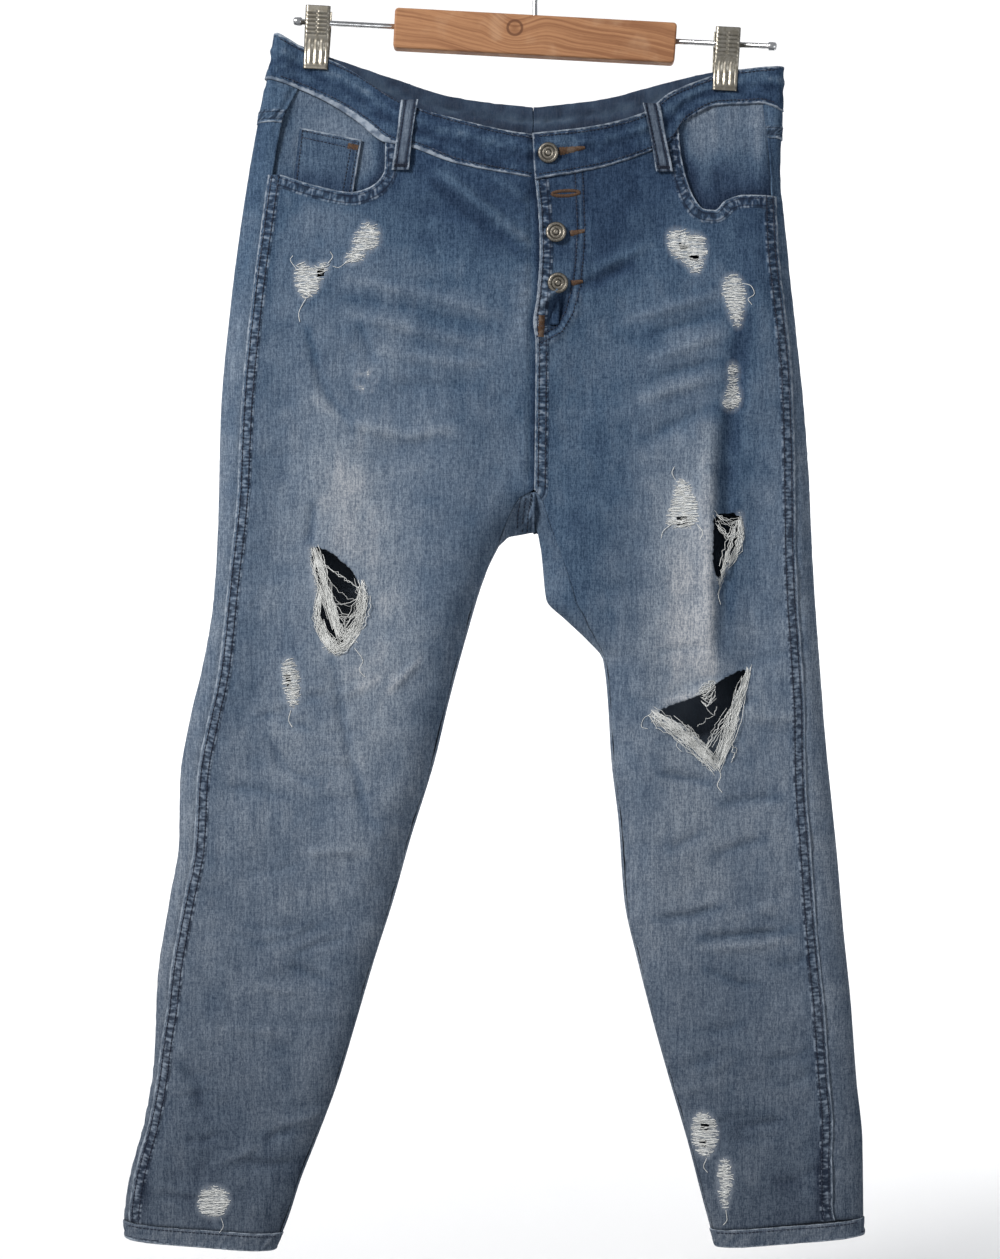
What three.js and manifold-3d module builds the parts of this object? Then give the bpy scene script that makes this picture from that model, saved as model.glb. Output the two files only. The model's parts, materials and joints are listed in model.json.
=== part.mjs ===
// Ripped jeans held by their waistband on a wooden clip hanger.
// Millimetres, +Z up, front towards -Y. The origin is the point inside the hook that bears on a rail.
// "Drop" is a distance straight down from the origin. Left and right are the wearer's.
import * as THREE from 'three';
import { mergeVertices } from 'three/addons/utils/BufferGeometryUtils.js';
import Module from 'manifold-3d';

const wasm = await Module();
wasm.setup();

// ---------------------------------------------------------------- driving dimensions

const PLY = 1.2; // one ply of denim
const BAND_WALL = 2.6; // waistband, folded double
const HEM_WALL = 3; // turned hem, three plies
const SEAM_GAP = 0.7; // daylight between pieces that are sewn edge to edge
const BAND_GAP = 0.6; // the same, under the waistband, where the cloth slopes
const FORK_CLEAR = 1.4; // extra daylight where the fork meets the fronts at an angle
const TRIM = 5; // how far a panel is first made past the waistband seam
const LAID_GAP = 1; // daylight under a piece that lies on a panel
const TUCK = 1.6; // daylight between a panel and what is tucked behind it
const TOP_TUCK = 0.9; // the same just under the waistband, where the clip presses

const FOLD_RADIUS = 34; // reach of the rounding where cloth turns round at its sides
const CORNER_RADIUS = 7; // the same at the ends of the waistband
const CLIP_HALF = 3.2; // half thickness of the waist where a clip bites
const CORNER_HALF = 6.4; // half thickness at the ends of the waistband
const WAIST_REACH = 75; // how far from a clip the waist springs open
const CORNER_REACH = 9; // the same, outwards
const CLIP_FLAT = 15; // half width of the flat that a clip presses
const CLIP_BITE = 16; // height of that flat
const SETTLE = 116; // drop over which the pinched waist then opens into the seat

const CENTRE_X = -1; // centre back and crotch
const JOIN_DROP = 471; // where the four leg seams meet
const FORK_DROP = 506; // lowest point of the seat seam, between the legs
const ROWS = 26; // courses of facets from the yoke seam to the hem
const JOIN_ROW = 11;
const FORK_ROW = 9;
const YOKE_ROWS = 2;
const HEM_HEIGHT = 15;

// Centre front: the edge of the fly, then the seam down to the crotch, as [drop, x].
const CENTRE_FRONT = [[172, -3], [207, -1], [243, 2.5], [272, 3.4], [311, 1], [332, -2], [350, 0], [471, -1]];

const FRONT = {
  sign: -1,
  waistHalf: 24,
  depth: [[200, 23], [330, 26], [470, 25], [600, 23], [800, 19], [950, 17], [1105, 14]],
  closing: [[430, 0], [471, 0.5], [512, 1]],
};
const BACK = {
  sign: 1,
  waistHalf: 17,
  depth: [[200, 18], [330, 22], [470, 21], [600, 19], [800, 16], [950, 15], [1105, 13]],
  closing: [[450, 0], [506, 1]],
};

// Each half: outlines as [drop, x], edges of the waistband as [distance from the centre, drop].
const RIGHT = {
  out: -1,
  clipX: -182,
  cornerX: -221,
  side: [
    [87, -218], [142, -229], [209, -241], [310, -255], [411, -264], [495, -266], [562, -270], [612, -278],
    [663, -290], [713, -298], [764, -299], [814, -307], [881, -317], [948, -320], [999, -328], [1049, -341],
    [1084, -345], [1104, -342],
  ],
  window: [[471, -1], [478, -13]],
  inner: [
    [512, -28], [545, -43], [587, -56], [646, -72], [696, -84], [764, -105], [814, -119], [864, -135],
    [915, -150], [965, -165], [1016, -184], [1049, -197], [1083, -208], [1106, -218],
  ],
  outseam: [
    [133, 26], [164, 18.5], [258, 20], [332, 20], [461, 18.5], [562, 13], [646, 17.5], [730, 16], [814, 13.5],
    [898, 11], [940, 6], [1007, 4.5], [1100, 4.5],
  ],
  inseam: [[471, 0.6], [512, 2]],
  frontTop: [[0, 176], [7, 175.5], [63, 163], [110, 146], [151, 119], [182, 104], [194, 99], [218, 87]],
  frontSeam: [
    [0, 212.5], [63, 200], [101, 185], [118, 181], [142, 162], [165, 147], [201, 131], [225, 124],
  ],
  backTop: [[0, 144.5], [63, 137], [122, 121], [182, 102], [218, 87]],
  backSeam: [[0, 182], [63, 174], [122, 158], [182, 139], [225, 124]],
  yokeSeam: [[0, 256], [80, 232], [160, 200], [228, 163]],
  yokeSideDrop: 163,
  outseamTopDrop: 131,
  hemInner: 1092,
  hemOuter: 1082,
};
const LEFT = {
  out: 1,
  clipX: 161,
  cornerX: 208,
  side: [
    [115, 208], [159, 207.5], [201, 206], [260, 211], [327, 218], [394, 225], [461, 230], [528, 233],
    [629, 240], [680, 244], [730, 249], [780, 254], [839, 259], [898, 265], [965, 270], [1016, 275],
    [1105, 276],
  ],
  window: [[471, -1]],
  inner: [
    [512, 4], [537, 6], [562, 9], [579, 26], [596, 44], [612, 57], [646, 61], [696, 64], [747, 70], [814, 75],
    [864, 86], [915, 99], [965, 113], [1016, 128], [1066, 141], [1106, 152],
  ],
  outseam: [
    [150, 14], [209, 6], [276, 10], [352, 9.5], [394, 11], [478, 15], [562, 17], [646, 17.6], [730, 23],
    [814, 24.4], [982, 25], [1032, 28], [1067, 28], [1100, 19],
  ],
  inseam: [[471, 0.6], [478, 5], [499, 9], [528, 17], [562, 24], [587, 11], [608, 2]],
  frontTop: [[0, 175.5], [44, 170], [91, 156], [114, 137.5], [150, 122], [161, 118], [208, 115]],
  frontSeam: [[0, 213.5], [55, 203], [93, 190], [114, 179], [126, 161], [155, 147], [188, 146], [207, 152]],
  backTop: [[0, 144.5], [55, 139], [114, 126], [161, 117], [208, 115]],
  backSeam: [[0, 182], [55, 176], [114, 163], [161, 154], [207, 152]],
  yokeSeam: [[0, 256], [80, 230], [150, 200], [206, 176]],
  yokeSideDrop: 176,
  outseamTopDrop: 150,
  hemInner: 1089,
  hemOuter: 1079,
};

// Broad folds of the hanging cloth: [face, x, drop] to [x, drop], reach across, height out of the cloth.
const FOLDS = [
  { face: FRONT, from: [140, 425], to: [146, 640], reach: 22, height: 4 },
  { face: FRONT, from: [176, 430], to: [178, 610], reach: 20, height: -4 },
  { face: FRONT, from: [-60, 420], to: [-150, 760], reach: 30, height: 3.5 },
  { face: FRONT, from: [-210, 420], to: [-230, 700], reach: 28, height: -3 },
  { face: FRONT, from: [40, 500], to: [120, 760], reach: 26, height: 3 },
  { face: FRONT, from: [-100, 260], to: [-30, 420], reach: 34, height: -3 },
  { face: FRONT, from: [90, 260], to: [30, 420], reach: 34, height: -3 },
  { face: BACK, from: [-120, 400], to: [-60, 500], reach: 30, height: -4 },
  { face: BACK, from: [110, 400], to: [50, 500], reach: 30, height: -4 },
  { face: BACK, from: [-150, 560], to: [-190, 760], reach: 28, height: -4 },
  { face: BACK, from: [130, 560], to: [150, 760], reach: 28, height: -4 },
];

// Open rips in the fronts, as [x, drop].
const THIGH_RIP = [
  [-185, 517], [-170, 522], [-152, 537], [-142, 556], [-144, 575], [-154, 596], [-164, 608], [-174, 603],
  [-180, 579], [-180, 554], [-185, 528],
];
const SIDE_RIP = [
  [147, 491], [170, 490], [171, 504], [164, 521], [157, 537], [150, 546], [146, 529], [147, 508],
];
const KNEE_RIP = [
  [98, 655], [120, 647], [137, 641], [146, 633], [166, 622], [177, 619], [168, 637], [160, 658], [155, 683],
  [149, 698], [142, 687], [130, 672], [116, 662],
];

// Edges of the front pocket mouths, as [x, drop], from the waistband round to the outseam.
const POCKET_RIGHT = [[-125, 160], [-125, 203], [-133, 217], [-153, 224], [-180, 219], [-211, 209]];
const POCKET_LEFT = [
  [119, 160], [121, 186], [126, 213], [140, 238], [149, 239], [157, 231], [173, 226], [203, 226],
];
const CUT_REACH = 60; // how far a cutter reaches past the cloth
const CUT_LAP = 0.1; // how far a cutter for one face laps over the other

const TILT = THREE.MathUtils.degToRad(3); // the hanger hangs with its left end low
const BAR = { long: 234, high: 34, thick: 13, bevel: 2, corner: 3, belowRod: 2.5 };
const ROD = { drop: 86.5, radius: 2.25, half: 203, capRadius: 3.6, capLong: 7, clear: 0.3 };
const HOOK = { wire: 2, bend: 20, foot: 80, stemTop: 54, clear: 0.3 };
const CLIP = { wide: 22, plate: 1.2, top: 12, waist: -8, gap: -26, foot: -40, topHalf: 8.6, waistHalf: 7.8 };
const JAW_HALF = 4.6; // half the opening between the jaws at the cloth
const LINK = { radius: 4, wide: 12, pin: -12 };

// ---------------------------------------------------------------- curves and surfaces

function mix(a, b, t) {
  return a + (b - a) * t;
}

function smooth(t) {
  const held = Math.min(1, Math.max(0, t));
  return held * held * (3 - 2 * held);
}

// Value at a place on the smooth monotone curve through [place, value] pairs.
function curve(points, place) {
  const last = points.length - 1;
  if (place <= points[0][0]) return points[0][1];
  if (place >= points[last][0]) return points[last][1];
  const slope = (k) => (points[k + 1][1] - points[k][1]) / (points[k + 1][0] - points[k][0]);
  const tangent = (k) => {
    if (k === 0) return slope(0);
    if (k === last) return slope(last - 1);
    const before = slope(k - 1);
    const after = slope(k);
    return before * after <= 0 ? 0 : (2 * before * after) / (before + after);
  };
  let i = 0;
  while (place > points[i + 1][0]) i += 1;
  const span = points[i + 1][0] - points[i][0];
  const t = (place - points[i][0]) / span;
  const rise = t * t * (3 - 2 * t);
  const leave = t * (1 - t) * (1 - t) * span * tangent(i);
  const arrive = t * t * (t - 1) * span * tangent(i + 1);
  return mix(points[i][1], points[i + 1][1], rise) + leave + arrive;
}

// Inner limit of one half of a face: the centre down to the crotch, then the inside of the leg.
function innerX(half, face, drop) {
  if (face === BACK) return curve([[FORK_DROP, CENTRE_X], ...half.inner], drop);
  if (drop < JOIN_DROP) return curve(CENTRE_FRONT, drop);
  return curve([...half.window, ...half.inner], drop);
}

function sideX(half, drop) {
  return curve(half.side, drop);
}

// Share of the full depth that is left at a distance from an edge where the cloth turns round.
function rounding(distance, radius, closing) {
  const short = closing * Math.max(0, 1 - Math.abs(distance) / radius);
  return Math.sqrt(Math.max(0, 1 - short * short));
}

function distanceToSegment(x, drop, from, to) {
  const runX = to[0] - from[0];
  const runDrop = to[1] - from[1];
  const along = ((x - from[0]) * runX + (drop - from[1]) * runDrop) / (runX * runX + runDrop * runDrop);
  const held = Math.min(1, Math.max(0, along));
  return Math.hypot(x - from[0] - held * runX, drop - from[1] - held * runDrop);
}

function foldHeight(face, x, drop) {
  let height = 0;
  for (const fold of FOLDS) {
    if (fold.face !== face) continue;
    const away = distanceToSegment(x, drop, fold.from, fold.to) / fold.reach;
    height += fold.height * Math.exp(-away * away);
  }
  return height;
}

// Depth of the cloth's outer surface, measured out from the plane y = 0.
function depthAt(half, face, x, drop) {
  const clipDrop = curve(half.frontTop, Math.abs(half.clipX));
  const open = smooth((drop - clipDrop - CLIP_BITE) / SETTLE);
  const past = (x - half.clipX) * half.out;
  const reach = past < 0 ? WAIST_REACH : CORNER_REACH;
  const limit = past < 0 ? face.waistHalf : CORNER_HALF;
  const clear = Math.max(0, Math.abs(past) - CLIP_FLAT) / reach;
  const pinched = mix(limit, CLIP_HALF, Math.exp(-clear * clear));
  const hanging = curve(face.depth, drop) + foldHeight(face, x, drop);
  const radius = mix(CORNER_RADIUS, FOLD_RADIUS, open);
  const atSide = rounding(sideX(half, drop) - x, radius, 1);
  const atInside = rounding(x - innerX(half, face, drop), FOLD_RADIUS, curve(face.closing, drop));
  return mix(pinched, hanging, open) * atSide * atInside;
}

function surfacePoint(half, face, x, drop) {
  return new THREE.Vector3(x, face.sign * depthAt(half, face, x, drop), -drop);
}

// ---------------------------------------------------------------- solids

// Closed wall along a grid of points. Its outer side stands `lift` out of the grid and it is `wall` thick.
function wallAlong(grid, flip, lift, wall, ring = false) {
  const rows = grid.length;
  const columns = grid[0].length;
  const turn = flip ? -1 : 1;
  const column = (j) => (ring ? (j + columns) % columns : Math.min(columns - 1, Math.max(0, j)));
  const positions = [];
  for (const level of [lift, lift - wall]) {
    for (let i = 0; i < rows; i += 1) {
      for (let j = 0; j < columns; j += 1) {
        const across = grid[i][column(j + 1)].clone().sub(grid[i][column(j - 1)]);
        const down = grid[Math.min(rows - 1, i + 1)][j].clone().sub(grid[Math.max(0, i - 1)][j]);
        const normal = across.cross(down).normalize();
        const point = grid[i][j].clone().addScaledVector(normal, turn * level);
        positions.push(point.x, point.y, point.z);
      }
    }
  }
  const inside = rows * columns;
  const triangles = [];
  const quad = (a, b, c, d) => {
    triangles.push(...(flip ? [a, c, b, a, d, c] : [a, b, c, a, c, d]));
  };
  const lastColumn = ring ? columns : columns - 1;
  for (let i = 0; i < rows - 1; i += 1) {
    for (let j = 0; j < lastColumn; j += 1) {
      const a = i * columns + j;
      const b = i * columns + column(j + 1);
      quad(a, b, b + columns, a + columns);
      quad(inside + a + columns, inside + b + columns, inside + b, inside + a);
    }
    if (ring) continue;
    const left = i * columns;
    const right = left + columns - 1;
    quad(left, left + columns, inside + left + columns, inside + left);
    quad(right + columns, right, inside + right, inside + right + columns);
  }
  for (let j = 0; j < lastColumn; j += 1) {
    const next = column(j + 1);
    const bottom = (rows - 1) * columns;
    quad(next, j, inside + j, inside + next);
    quad(bottom + j, bottom + next, inside + bottom + next, inside + bottom + j);
  }
  const geometry = new THREE.BufferGeometry();
  geometry.setAttribute('position', new THREE.Float32BufferAttribute(positions, 3));
  geometry.setIndex(triangles);
  geometry.computeVertexNormals();
  return geometry;
}

function toManifold(geometry) {
  const bare = geometry.clone();
  for (const name of Object.keys(bare.attributes)) {
    if (name !== 'position') bare.deleteAttribute(name);
  }
  const merged = mergeVertices(bare, 1e-4);
  const vertProperties = new Float32Array(merged.attributes.position.array);
  const triVerts = new Uint32Array(merged.index.array);
  return new wasm.Manifold(new wasm.Mesh({ numProp: 3, vertProperties, triVerts }));
}

function toGeometry(solid) {
  const mesh = solid.getMesh();
  const geometry = new THREE.BufferGeometry();
  geometry.setAttribute('position', new THREE.Float32BufferAttribute(mesh.vertProperties, 3));
  geometry.setIndex(new THREE.Uint32BufferAttribute(mesh.triVerts, 1));
  geometry.computeVertexNormals();
  return geometry;
}

function cut(geometry, ...cutters) {
  let solid = toManifold(geometry);
  for (const cutter of cutters) solid = solid.subtract(toManifold(cutter));
  return toGeometry(solid);
}

// Prism through one face of the garment over an outline of [x, drop] points.
function facePrism(outline, face) {
  const shape = new THREE.Shape(outline.map(([x, drop]) => new THREE.Vector2(x, -drop)));
  const prism = new THREE.ExtrudeGeometry(shape, { depth: CUT_REACH, bevelEnabled: false });
  prism.rotateX(Math.PI / 2);
  return prism.translate(0, face === BACK ? CUT_REACH - CUT_LAP : CUT_LAP, 0);
}

function frontPrism(outline) {
  return facePrism(outline, FRONT);
}

function gridOf(rows, columns, point) {
  const grid = [];
  for (let i = 0; i <= rows; i += 1) {
    const row = [];
    for (let j = 0; j <= columns; j += 1) row.push(point(j / columns, i / rows));
    grid.push(row);
  }
  return grid;
}

// Even steps, drawn together towards both ends.
function gathered(s) {
  return mix(s, (1 - Math.cos(Math.PI * s)) / 2, 0.6);
}

// ---------------------------------------------------------------- legs

const JOIN_V = JOIN_ROW / ROWS;
const FORK_V = FORK_ROW / ROWS;
const YOKE_V = YOKE_ROWS / ROWS;
const CALM_V = 0.56; // from here down the rows of a back no longer follow the fork
const LEG_V = 3 / ROWS; // share of the length over which the saddle of the fork becomes a leg

function outseamDrop(half, v) {
  if (v < 0) return mix(half.yokeSideDrop, half.outseamTopDrop, -v / YOKE_V);
  return mix(half.yokeSideDrop, half.hemOuter, v);
}

function inseamDrop(half, v) {
  return mix(JOIN_DROP, half.hemInner, (v - JOIN_V) / (1 - JOIN_V));
}

// Front leg: s runs from the centre or inseam to the outseam, v from the waistband to the hem.
function frontPoint(half, s, v) {
  const across = gathered(s);
  const topInner = half.frontSeam[0][1];
  const fromTop = (v + YOKE_V) / (JOIN_V + YOKE_V);
  const innerDrop = v < JOIN_V ? mix(topInner, JOIN_DROP, fromTop) : inseamDrop(half, v);
  const level = mix(innerDrop, outseamDrop(half, v), across);
  const place = (drop) => {
    const shift = drop < JOIN_DROP ? SEAM_GAP / 2 : curve(half.inseam, drop) + SEAM_GAP / 2;
    const from = innerX(half, FRONT, drop) + half.out * shift;
    const to = sideX(half, drop) - half.out * (curve(half.outseam, drop) + SEAM_GAP / 2);
    return mix(from, to, across);
  };
  const straight = mix(topInner, half.outseamTopDrop, across);
  const sag = across < 1 ? curve(half.frontSeam, Math.abs(place(straight))) - straight : 0;
  const fade = 1 - smooth((v + YOKE_V) / 0.3);
  const drop = level + sag * fade - (v < -YOKE_V + 1e-6 ? TRIM : 0);
  return surfacePoint(half, FRONT, place(drop), drop);
}

// Columns of a back: the strip that shows beside the outseam, the seat or calf, then the fork strip.
const STRIP_COLUMNS = 3;
const SEAT_COLUMNS = 8;
const FORK_COLUMNS = 2;
const BACK_COLUMNS = STRIP_COLUMNS + SEAT_COLUMNS + FORK_COLUMNS;

// Point of the back reached from the outseam round the side: column counts whole columns.
function roundTheSide(half, column, drop, innerGap) {
  const side = sideX(half, drop);
  if (column < STRIP_COLUMNS) {
    const turn = (1 - column / STRIP_COLUMNS) * (Math.PI / 2);
    const wide = curve(half.outseam, drop) - SEAM_GAP / 2;
    return surfacePoint(half, FRONT, side - half.out * wide * (1 - Math.cos(turn)), drop);
  }
  const across = gathered((column - STRIP_COLUMNS) / SEAT_COLUMNS);
  const inner = innerX(half, BACK, drop) + half.out * innerGap;
  return surfacePoint(half, BACK, mix(side, inner, across), drop);
}

function seatDrop(half, v) {
  if (v < FORK_V) return mix(half.yokeSeam[0][1], FORK_DROP, v / FORK_V);
  const inThigh = [0.52, CALM_V].map((place) => [place, inseamDrop(half, place)]);
  return curve([[FORK_V, 508], [JOIN_V, 520], [0.46, 533], ...inThigh], v);
}

// Inner end of a back row: centre back, under the fork and up to the join, then the inseam.
function forkEnd(half, v) {
  const gap = half.out * (SEAM_GAP / 2);
  if (v < FORK_V) {
    const drop = mix(half.yokeSeam[0][1], FORK_DROP, v / FORK_V) - (v < 1e-6 ? TRIM : 0);
    const point = surfacePoint(half, BACK, innerX(half, BACK, drop), drop);
    point.x += gap;
    return point;
  }
  if (v < JOIN_V) {
    const rise = (v - FORK_V) / (JOIN_V - FORK_V);
    const drop = mix(FORK_DROP, JOIN_DROP + 1, rise);
    const depth = depthAt(half, FRONT, CENTRE_X, JOIN_DROP) * Math.sin((rise * Math.PI) / 2);
    const apart = half.out * FORK_CLEAR * Math.sin(rise * Math.PI);
    return new THREE.Vector3(CENTRE_X + gap + apart, -depth, -drop);
  }
  const drop = inseamDrop(half, v) + (v < JOIN_V + 0.02 ? 1 : 0);
  const shift = Math.max(0, curve(half.inseam, drop) - SEAM_GAP / 2);
  const point = surfacePoint(half, FRONT, innerX(half, FRONT, drop) + half.out * shift, drop);
  point.x -= half.out * curve([[500, FORK_CLEAR], [530, 0]], drop);
  return point;
}

function backPoint(half, column, v) {
  const seat = v < CALM_V ? seatDrop(half, v) : inseamDrop(half, v);
  const inset = curve([[440, 25], [FORK_DROP, 9], [514, 0]], seat);
  const placeOn = (c) => {
    const across = gathered(Math.max(0, c - STRIP_COLUMNS) / SEAT_COLUMNS);
    const level = mix(outseamDrop(half, v), seat, across);
    const straight = mix(half.yokeSideDrop, half.yokeSeam[0][1], across);
    const from = Math.abs(mix(sideX(half, straight), CENTRE_X, across));
    const sag = c < STRIP_COLUMNS ? 0 : curve(half.yokeSeam, from) - straight;
    const drop = level + sag * (1 - smooth(v / 0.3)) - (v < 1e-6 ? TRIM : 0);
    return roundTheSide(half, c, drop, inset);
  };
  const seatColumn = STRIP_COLUMNS + SEAT_COLUMNS;
  if (column <= seatColumn) return placeOn(column);
  const start = placeOn(seatColumn);
  const end = forkEnd(half, v);
  const t = (column - seatColumn) / FORK_COLUMNS;
  const turn = (t * Math.PI) / 2;
  const late = 1 - Math.cos(turn);
  const early = Math.sin(turn);
  const onLeg = smooth((v - JOIN_V) / LEG_V);
  const x = mix(start.x, end.x, mix(early, late, onLeg));
  const y = mix(start.y, end.y, mix(late, early, onLeg));
  return new THREE.Vector3(x, y, mix(start.z, end.z, t));
}

function frontLeg(half, ...openings) {
  const rows = ROWS + YOKE_ROWS;
  const grid = gridOf(rows, 10, (s, t) => frontPoint(half, s, mix(-YOKE_V, 1, t)));
  const wall = wallAlong(grid, half.out > 0, 0, PLY);
  return cut(wall, bandCutter(half, FRONT), ...openings.map(frontPrism));
}

function backLeg(half) {
  const grid = gridOf(ROWS, BACK_COLUMNS, (s, v) => backPoint(half, s * BACK_COLUMNS, v));
  const wall = wallAlong(grid, half.out > 0, 0, PLY);
  return cut(wall, yokeCutter(half, FRONT), yokeCutter(half, BACK));
}

function yokeSeamDrop(half, column) {
  if (column < STRIP_COLUMNS) return half.yokeSideDrop;
  const across = gathered((column - STRIP_COLUMNS) / SEAT_COLUMNS);
  return curve(half.yokeSeam, Math.abs(mix(sideX(half, half.yokeSideDrop), CENTRE_X, across)));
}

// Everything of one face above the yoke seam.
function yokeCutter(half, face) {
  const seat = Array.from({ length: SEAT_COLUMNS + 1 }, (_, k) => k + STRIP_COLUMNS);
  const columns = face === FRONT ? [0, STRIP_COLUMNS] : seat;
  const outline = columns.map((column) => {
    const drop = yokeSeamDrop(half, column);
    return [roundTheSide(half, column, drop, 0).x, drop];
  });
  const centre = -half.out * CUT_REACH;
  const outside = outline[0][0] + half.out * CUT_REACH;
  const first = outline[0][1];
  const last = outline[outline.length - 1][1];
  if (face === FRONT) {
    return facePrism([[centre, first], [outside, first], [outside, 0], [centre, 0]], face);
  }
  return facePrism([[outside, first], ...outline, [centre, last], [centre, 0], [outside, 0]], face);
}

// Yoke: from the outseam round the side to the centre back, between waistband and yoke seam.
function yoke(half) {
  const columns = STRIP_COLUMNS + SEAT_COLUMNS;
  const grid = gridOf(YOKE_ROWS, columns, (s, t) => {
    const column = s * columns;
    const across = gathered(Math.max(0, column - STRIP_COLUMNS) / SEAT_COLUMNS);
    const from = Math.abs(mix(sideX(half, half.yokeSideDrop), CENTRE_X, across));
    const onStrip = Math.min(1, column / STRIP_COLUMNS);
    const top = column < STRIP_COLUMNS
      ? mix(half.outseamTopDrop, half.backSeam[half.backSeam.length - 1][1], onStrip)
      : curve(half.backSeam, from);
    const drop = mix(top - TRIM, yokeSeamDrop(half, column) - SEAM_GAP, t);
    return roundTheSide(half, column, drop, SEAM_GAP / 2);
  });
  const wall = wallAlong(grid, half.out > 0, 0, PLY);
  return cut(wall, bandCutter(half, FRONT), bandCutter(half, BACK));
}

// ---------------------------------------------------------------- waistband, hems and pieces laid on

const BAND_PROUD = 0.6; // how far bands and hems stand out of the cloth beside them

const BAND_COLUMNS = 36;

// Everything of one face above the lower edge of the waistband, for trimming what is sewn to it.
function bandCutter(half, face) {
  const outline = [];
  for (let j = 0; j <= BAND_COLUMNS / 2; j += 1) {
    const column = face === FRONT ? j : BAND_COLUMNS - j;
    const edge = bandPoint(half, column / BAND_COLUMNS, 1);
    outline.push([edge.x, BAND_GAP - edge.z]);
  }
  const last = outline[outline.length - 1];
  const centre = -half.out * CUT_REACH;
  const outside = half.out * (Math.abs(last[0]) + CUT_REACH);
  const above = [[outside, last[1]], [outside, 0], [centre, 0], [centre, outline[0][1]]];
  return facePrism([...outline, ...above], face);
}

function bandPoint(half, s, t) {
  const face = s < 0.5 ? FRONT : BACK;
  const share = s < 0.5 ? s * 2 : 2 - s * 2;
  const across = gathered(share);
  const top = face === FRONT ? half.frontTop : half.backTop;
  const seam = face === FRONT ? half.frontSeam : half.backSeam;
  const from = Math.abs(half.cornerX) * across;
  const drop = mix(curve(top, from), curve(seam, from), t);
  const centre = (face === FRONT ? curve(CENTRE_FRONT, drop) : CENTRE_X) + half.out * (SEAM_GAP / 2);
  return surfacePoint(half, face, mix(centre, sideX(half, drop), across), drop);
}

function waistband(half) {
  const grid = gridOf(2, BAND_COLUMNS, (s, t) => bandPoint(half, s, t));
  return wallAlong(grid, half.out > 0, BAND_PROUD, BAND_WALL);
}

// Point of a leg's whole section: s = 0 at the inseam, 0.5 at the side, and back round behind.
function legRing(half, s, drop) {
  const face = s < 0.5 ? FRONT : BACK;
  const across = gathered(s < 0.5 ? s * 2 : 2 - s * 2);
  const level = drop + mix(half.hemInner, half.hemOuter, across) - half.hemInner;
  return surfacePoint(half, face, mix(innerX(half, face, level), sideX(half, level), across), level);
}

function hem(half) {
  const columns = 22;
  const grid = [];
  for (const drop of [half.hemInner + SEAM_GAP, half.hemInner + HEM_HEIGHT]) {
    const row = [];
    for (let j = 0; j < columns; j += 1) row.push(legRing(half, j / columns, drop));
    grid.push(row);
  }
  return wallAlong(grid, half.out > 0, BAND_PROUD, HEM_WALL, true);
}

// Piece that lies on or under one face. outline(s, t) gives [x, drop, how far it is sunk into the
// garment], and lift is to the piece's outer side.
function laidPiece(half, face, rows, columns, outline, lift, wall) {
  const grid = gridOf(rows, columns, (s, t) => {
    const [x, drop, sink = 0] = outline(s, t);
    const point = surfacePoint(half, face, x, drop);
    point.y -= face.sign * sink;
    return point;
  });
  return wallAlong(grid, face === FRONT, lift, wall);
}

const OUTSEAM_TUCK = 2; // how far a pocket facing reaches behind the back
const FACING_SINK = 40; // drop over which a facing sinks to its full depth

function outseamX(half, drop) {
  return sideX(half, drop) - half.out * curve(half.outseam, drop);
}

// The front below a pocket mouth is cut away to this outline: the mouth, then round outside the cloth.
function mouthCutter(mouth, half) {
  const first = mouth[0];
  const last = mouth[mouth.length - 1];
  const outside = half.out * (Math.abs(last[0]) + CUT_REACH);
  return [...mouth, [outside, last[1]], [outside, CUT_REACH], [first[0], CUT_REACH]];
}

// Facing behind a pocket mouth, from the outseam inwards.
function pocketFacing(half, insideX, bottomDrop, plies) {
  const outline = (s, t) => {
    const across = half.out > 0 ? s : 1 - s;
    const guess = mix(insideX, outseamX(half, bottomDrop), across);
    const top = curve(half.frontSeam, Math.abs(guess)) + BAND_GAP;
    const drop = mix(top, bottomDrop, t);
    const sink = smooth((drop - half.outseamTopDrop) / FACING_SINK) * (plies * (PLY + TUCK) - PLY - TOP_TUCK);
    return [mix(insideX, outseamX(half, drop) + half.out * OUTSEAM_TUCK, across), drop, sink];
  };
  return laidPiece(half, FRONT, 7, 6, outline, -(PLY + TOP_TUCK), PLY);
}

const COIN = { topOuter: [-197, 168], topInner: [-145, 179], footOuter: [-202, 226], footInner: [-152, 232] };

function coinPocket() {
  const outline = (s, t) => [0, 1].map((k) => mix(
    mix(COIN.topOuter[k], COIN.topInner[k], s),
    mix(COIN.footOuter[k], COIN.footInner[k], s),
    t,
  ));
  return laidPiece(RIGHT, FRONT, 4, 4, outline, -(PLY + TUCK), PLY);
}

const BACK_POCKET = { top: 250, high: 140, point: 16, topHalf: 66, footHalf: 57 };

function backPocket(half, centreX) {
  const outline = (s, t) => {
    const side = s * 2 - 1;
    const x = centreX + side * mix(BACK_POCKET.topHalf, BACK_POCKET.footHalf, t);
    const point = BACK_POCKET.point * (1 - Math.abs(side)) * t;
    return [x, BACK_POCKET.top + BACK_POCKET.high * t + point];
  };
  return laidPiece(half, BACK, 6, 6, outline, LAID_GAP + PLY, PLY);
}

const LOOP = { wide: 13.5, wall: 2.2 };

// Belt loop between two [x, drop] ends, standing clear of the waistband.
function beltLoop(half, face, from, to) {
  const outline = (s, t) => [mix(from[0], to[0], t) + (s - 0.5) * LOOP.wide, mix(from[1], to[1], t)];
  const lift = BAND_PROUD + LAID_GAP + LOOP.wall;
  return laidPiece(half, face, 5, 1, outline, lift, LOOP.wall);
}

const UNDERLAP = { left: 20, right: -26, top: 216, foot: 334 };

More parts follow.
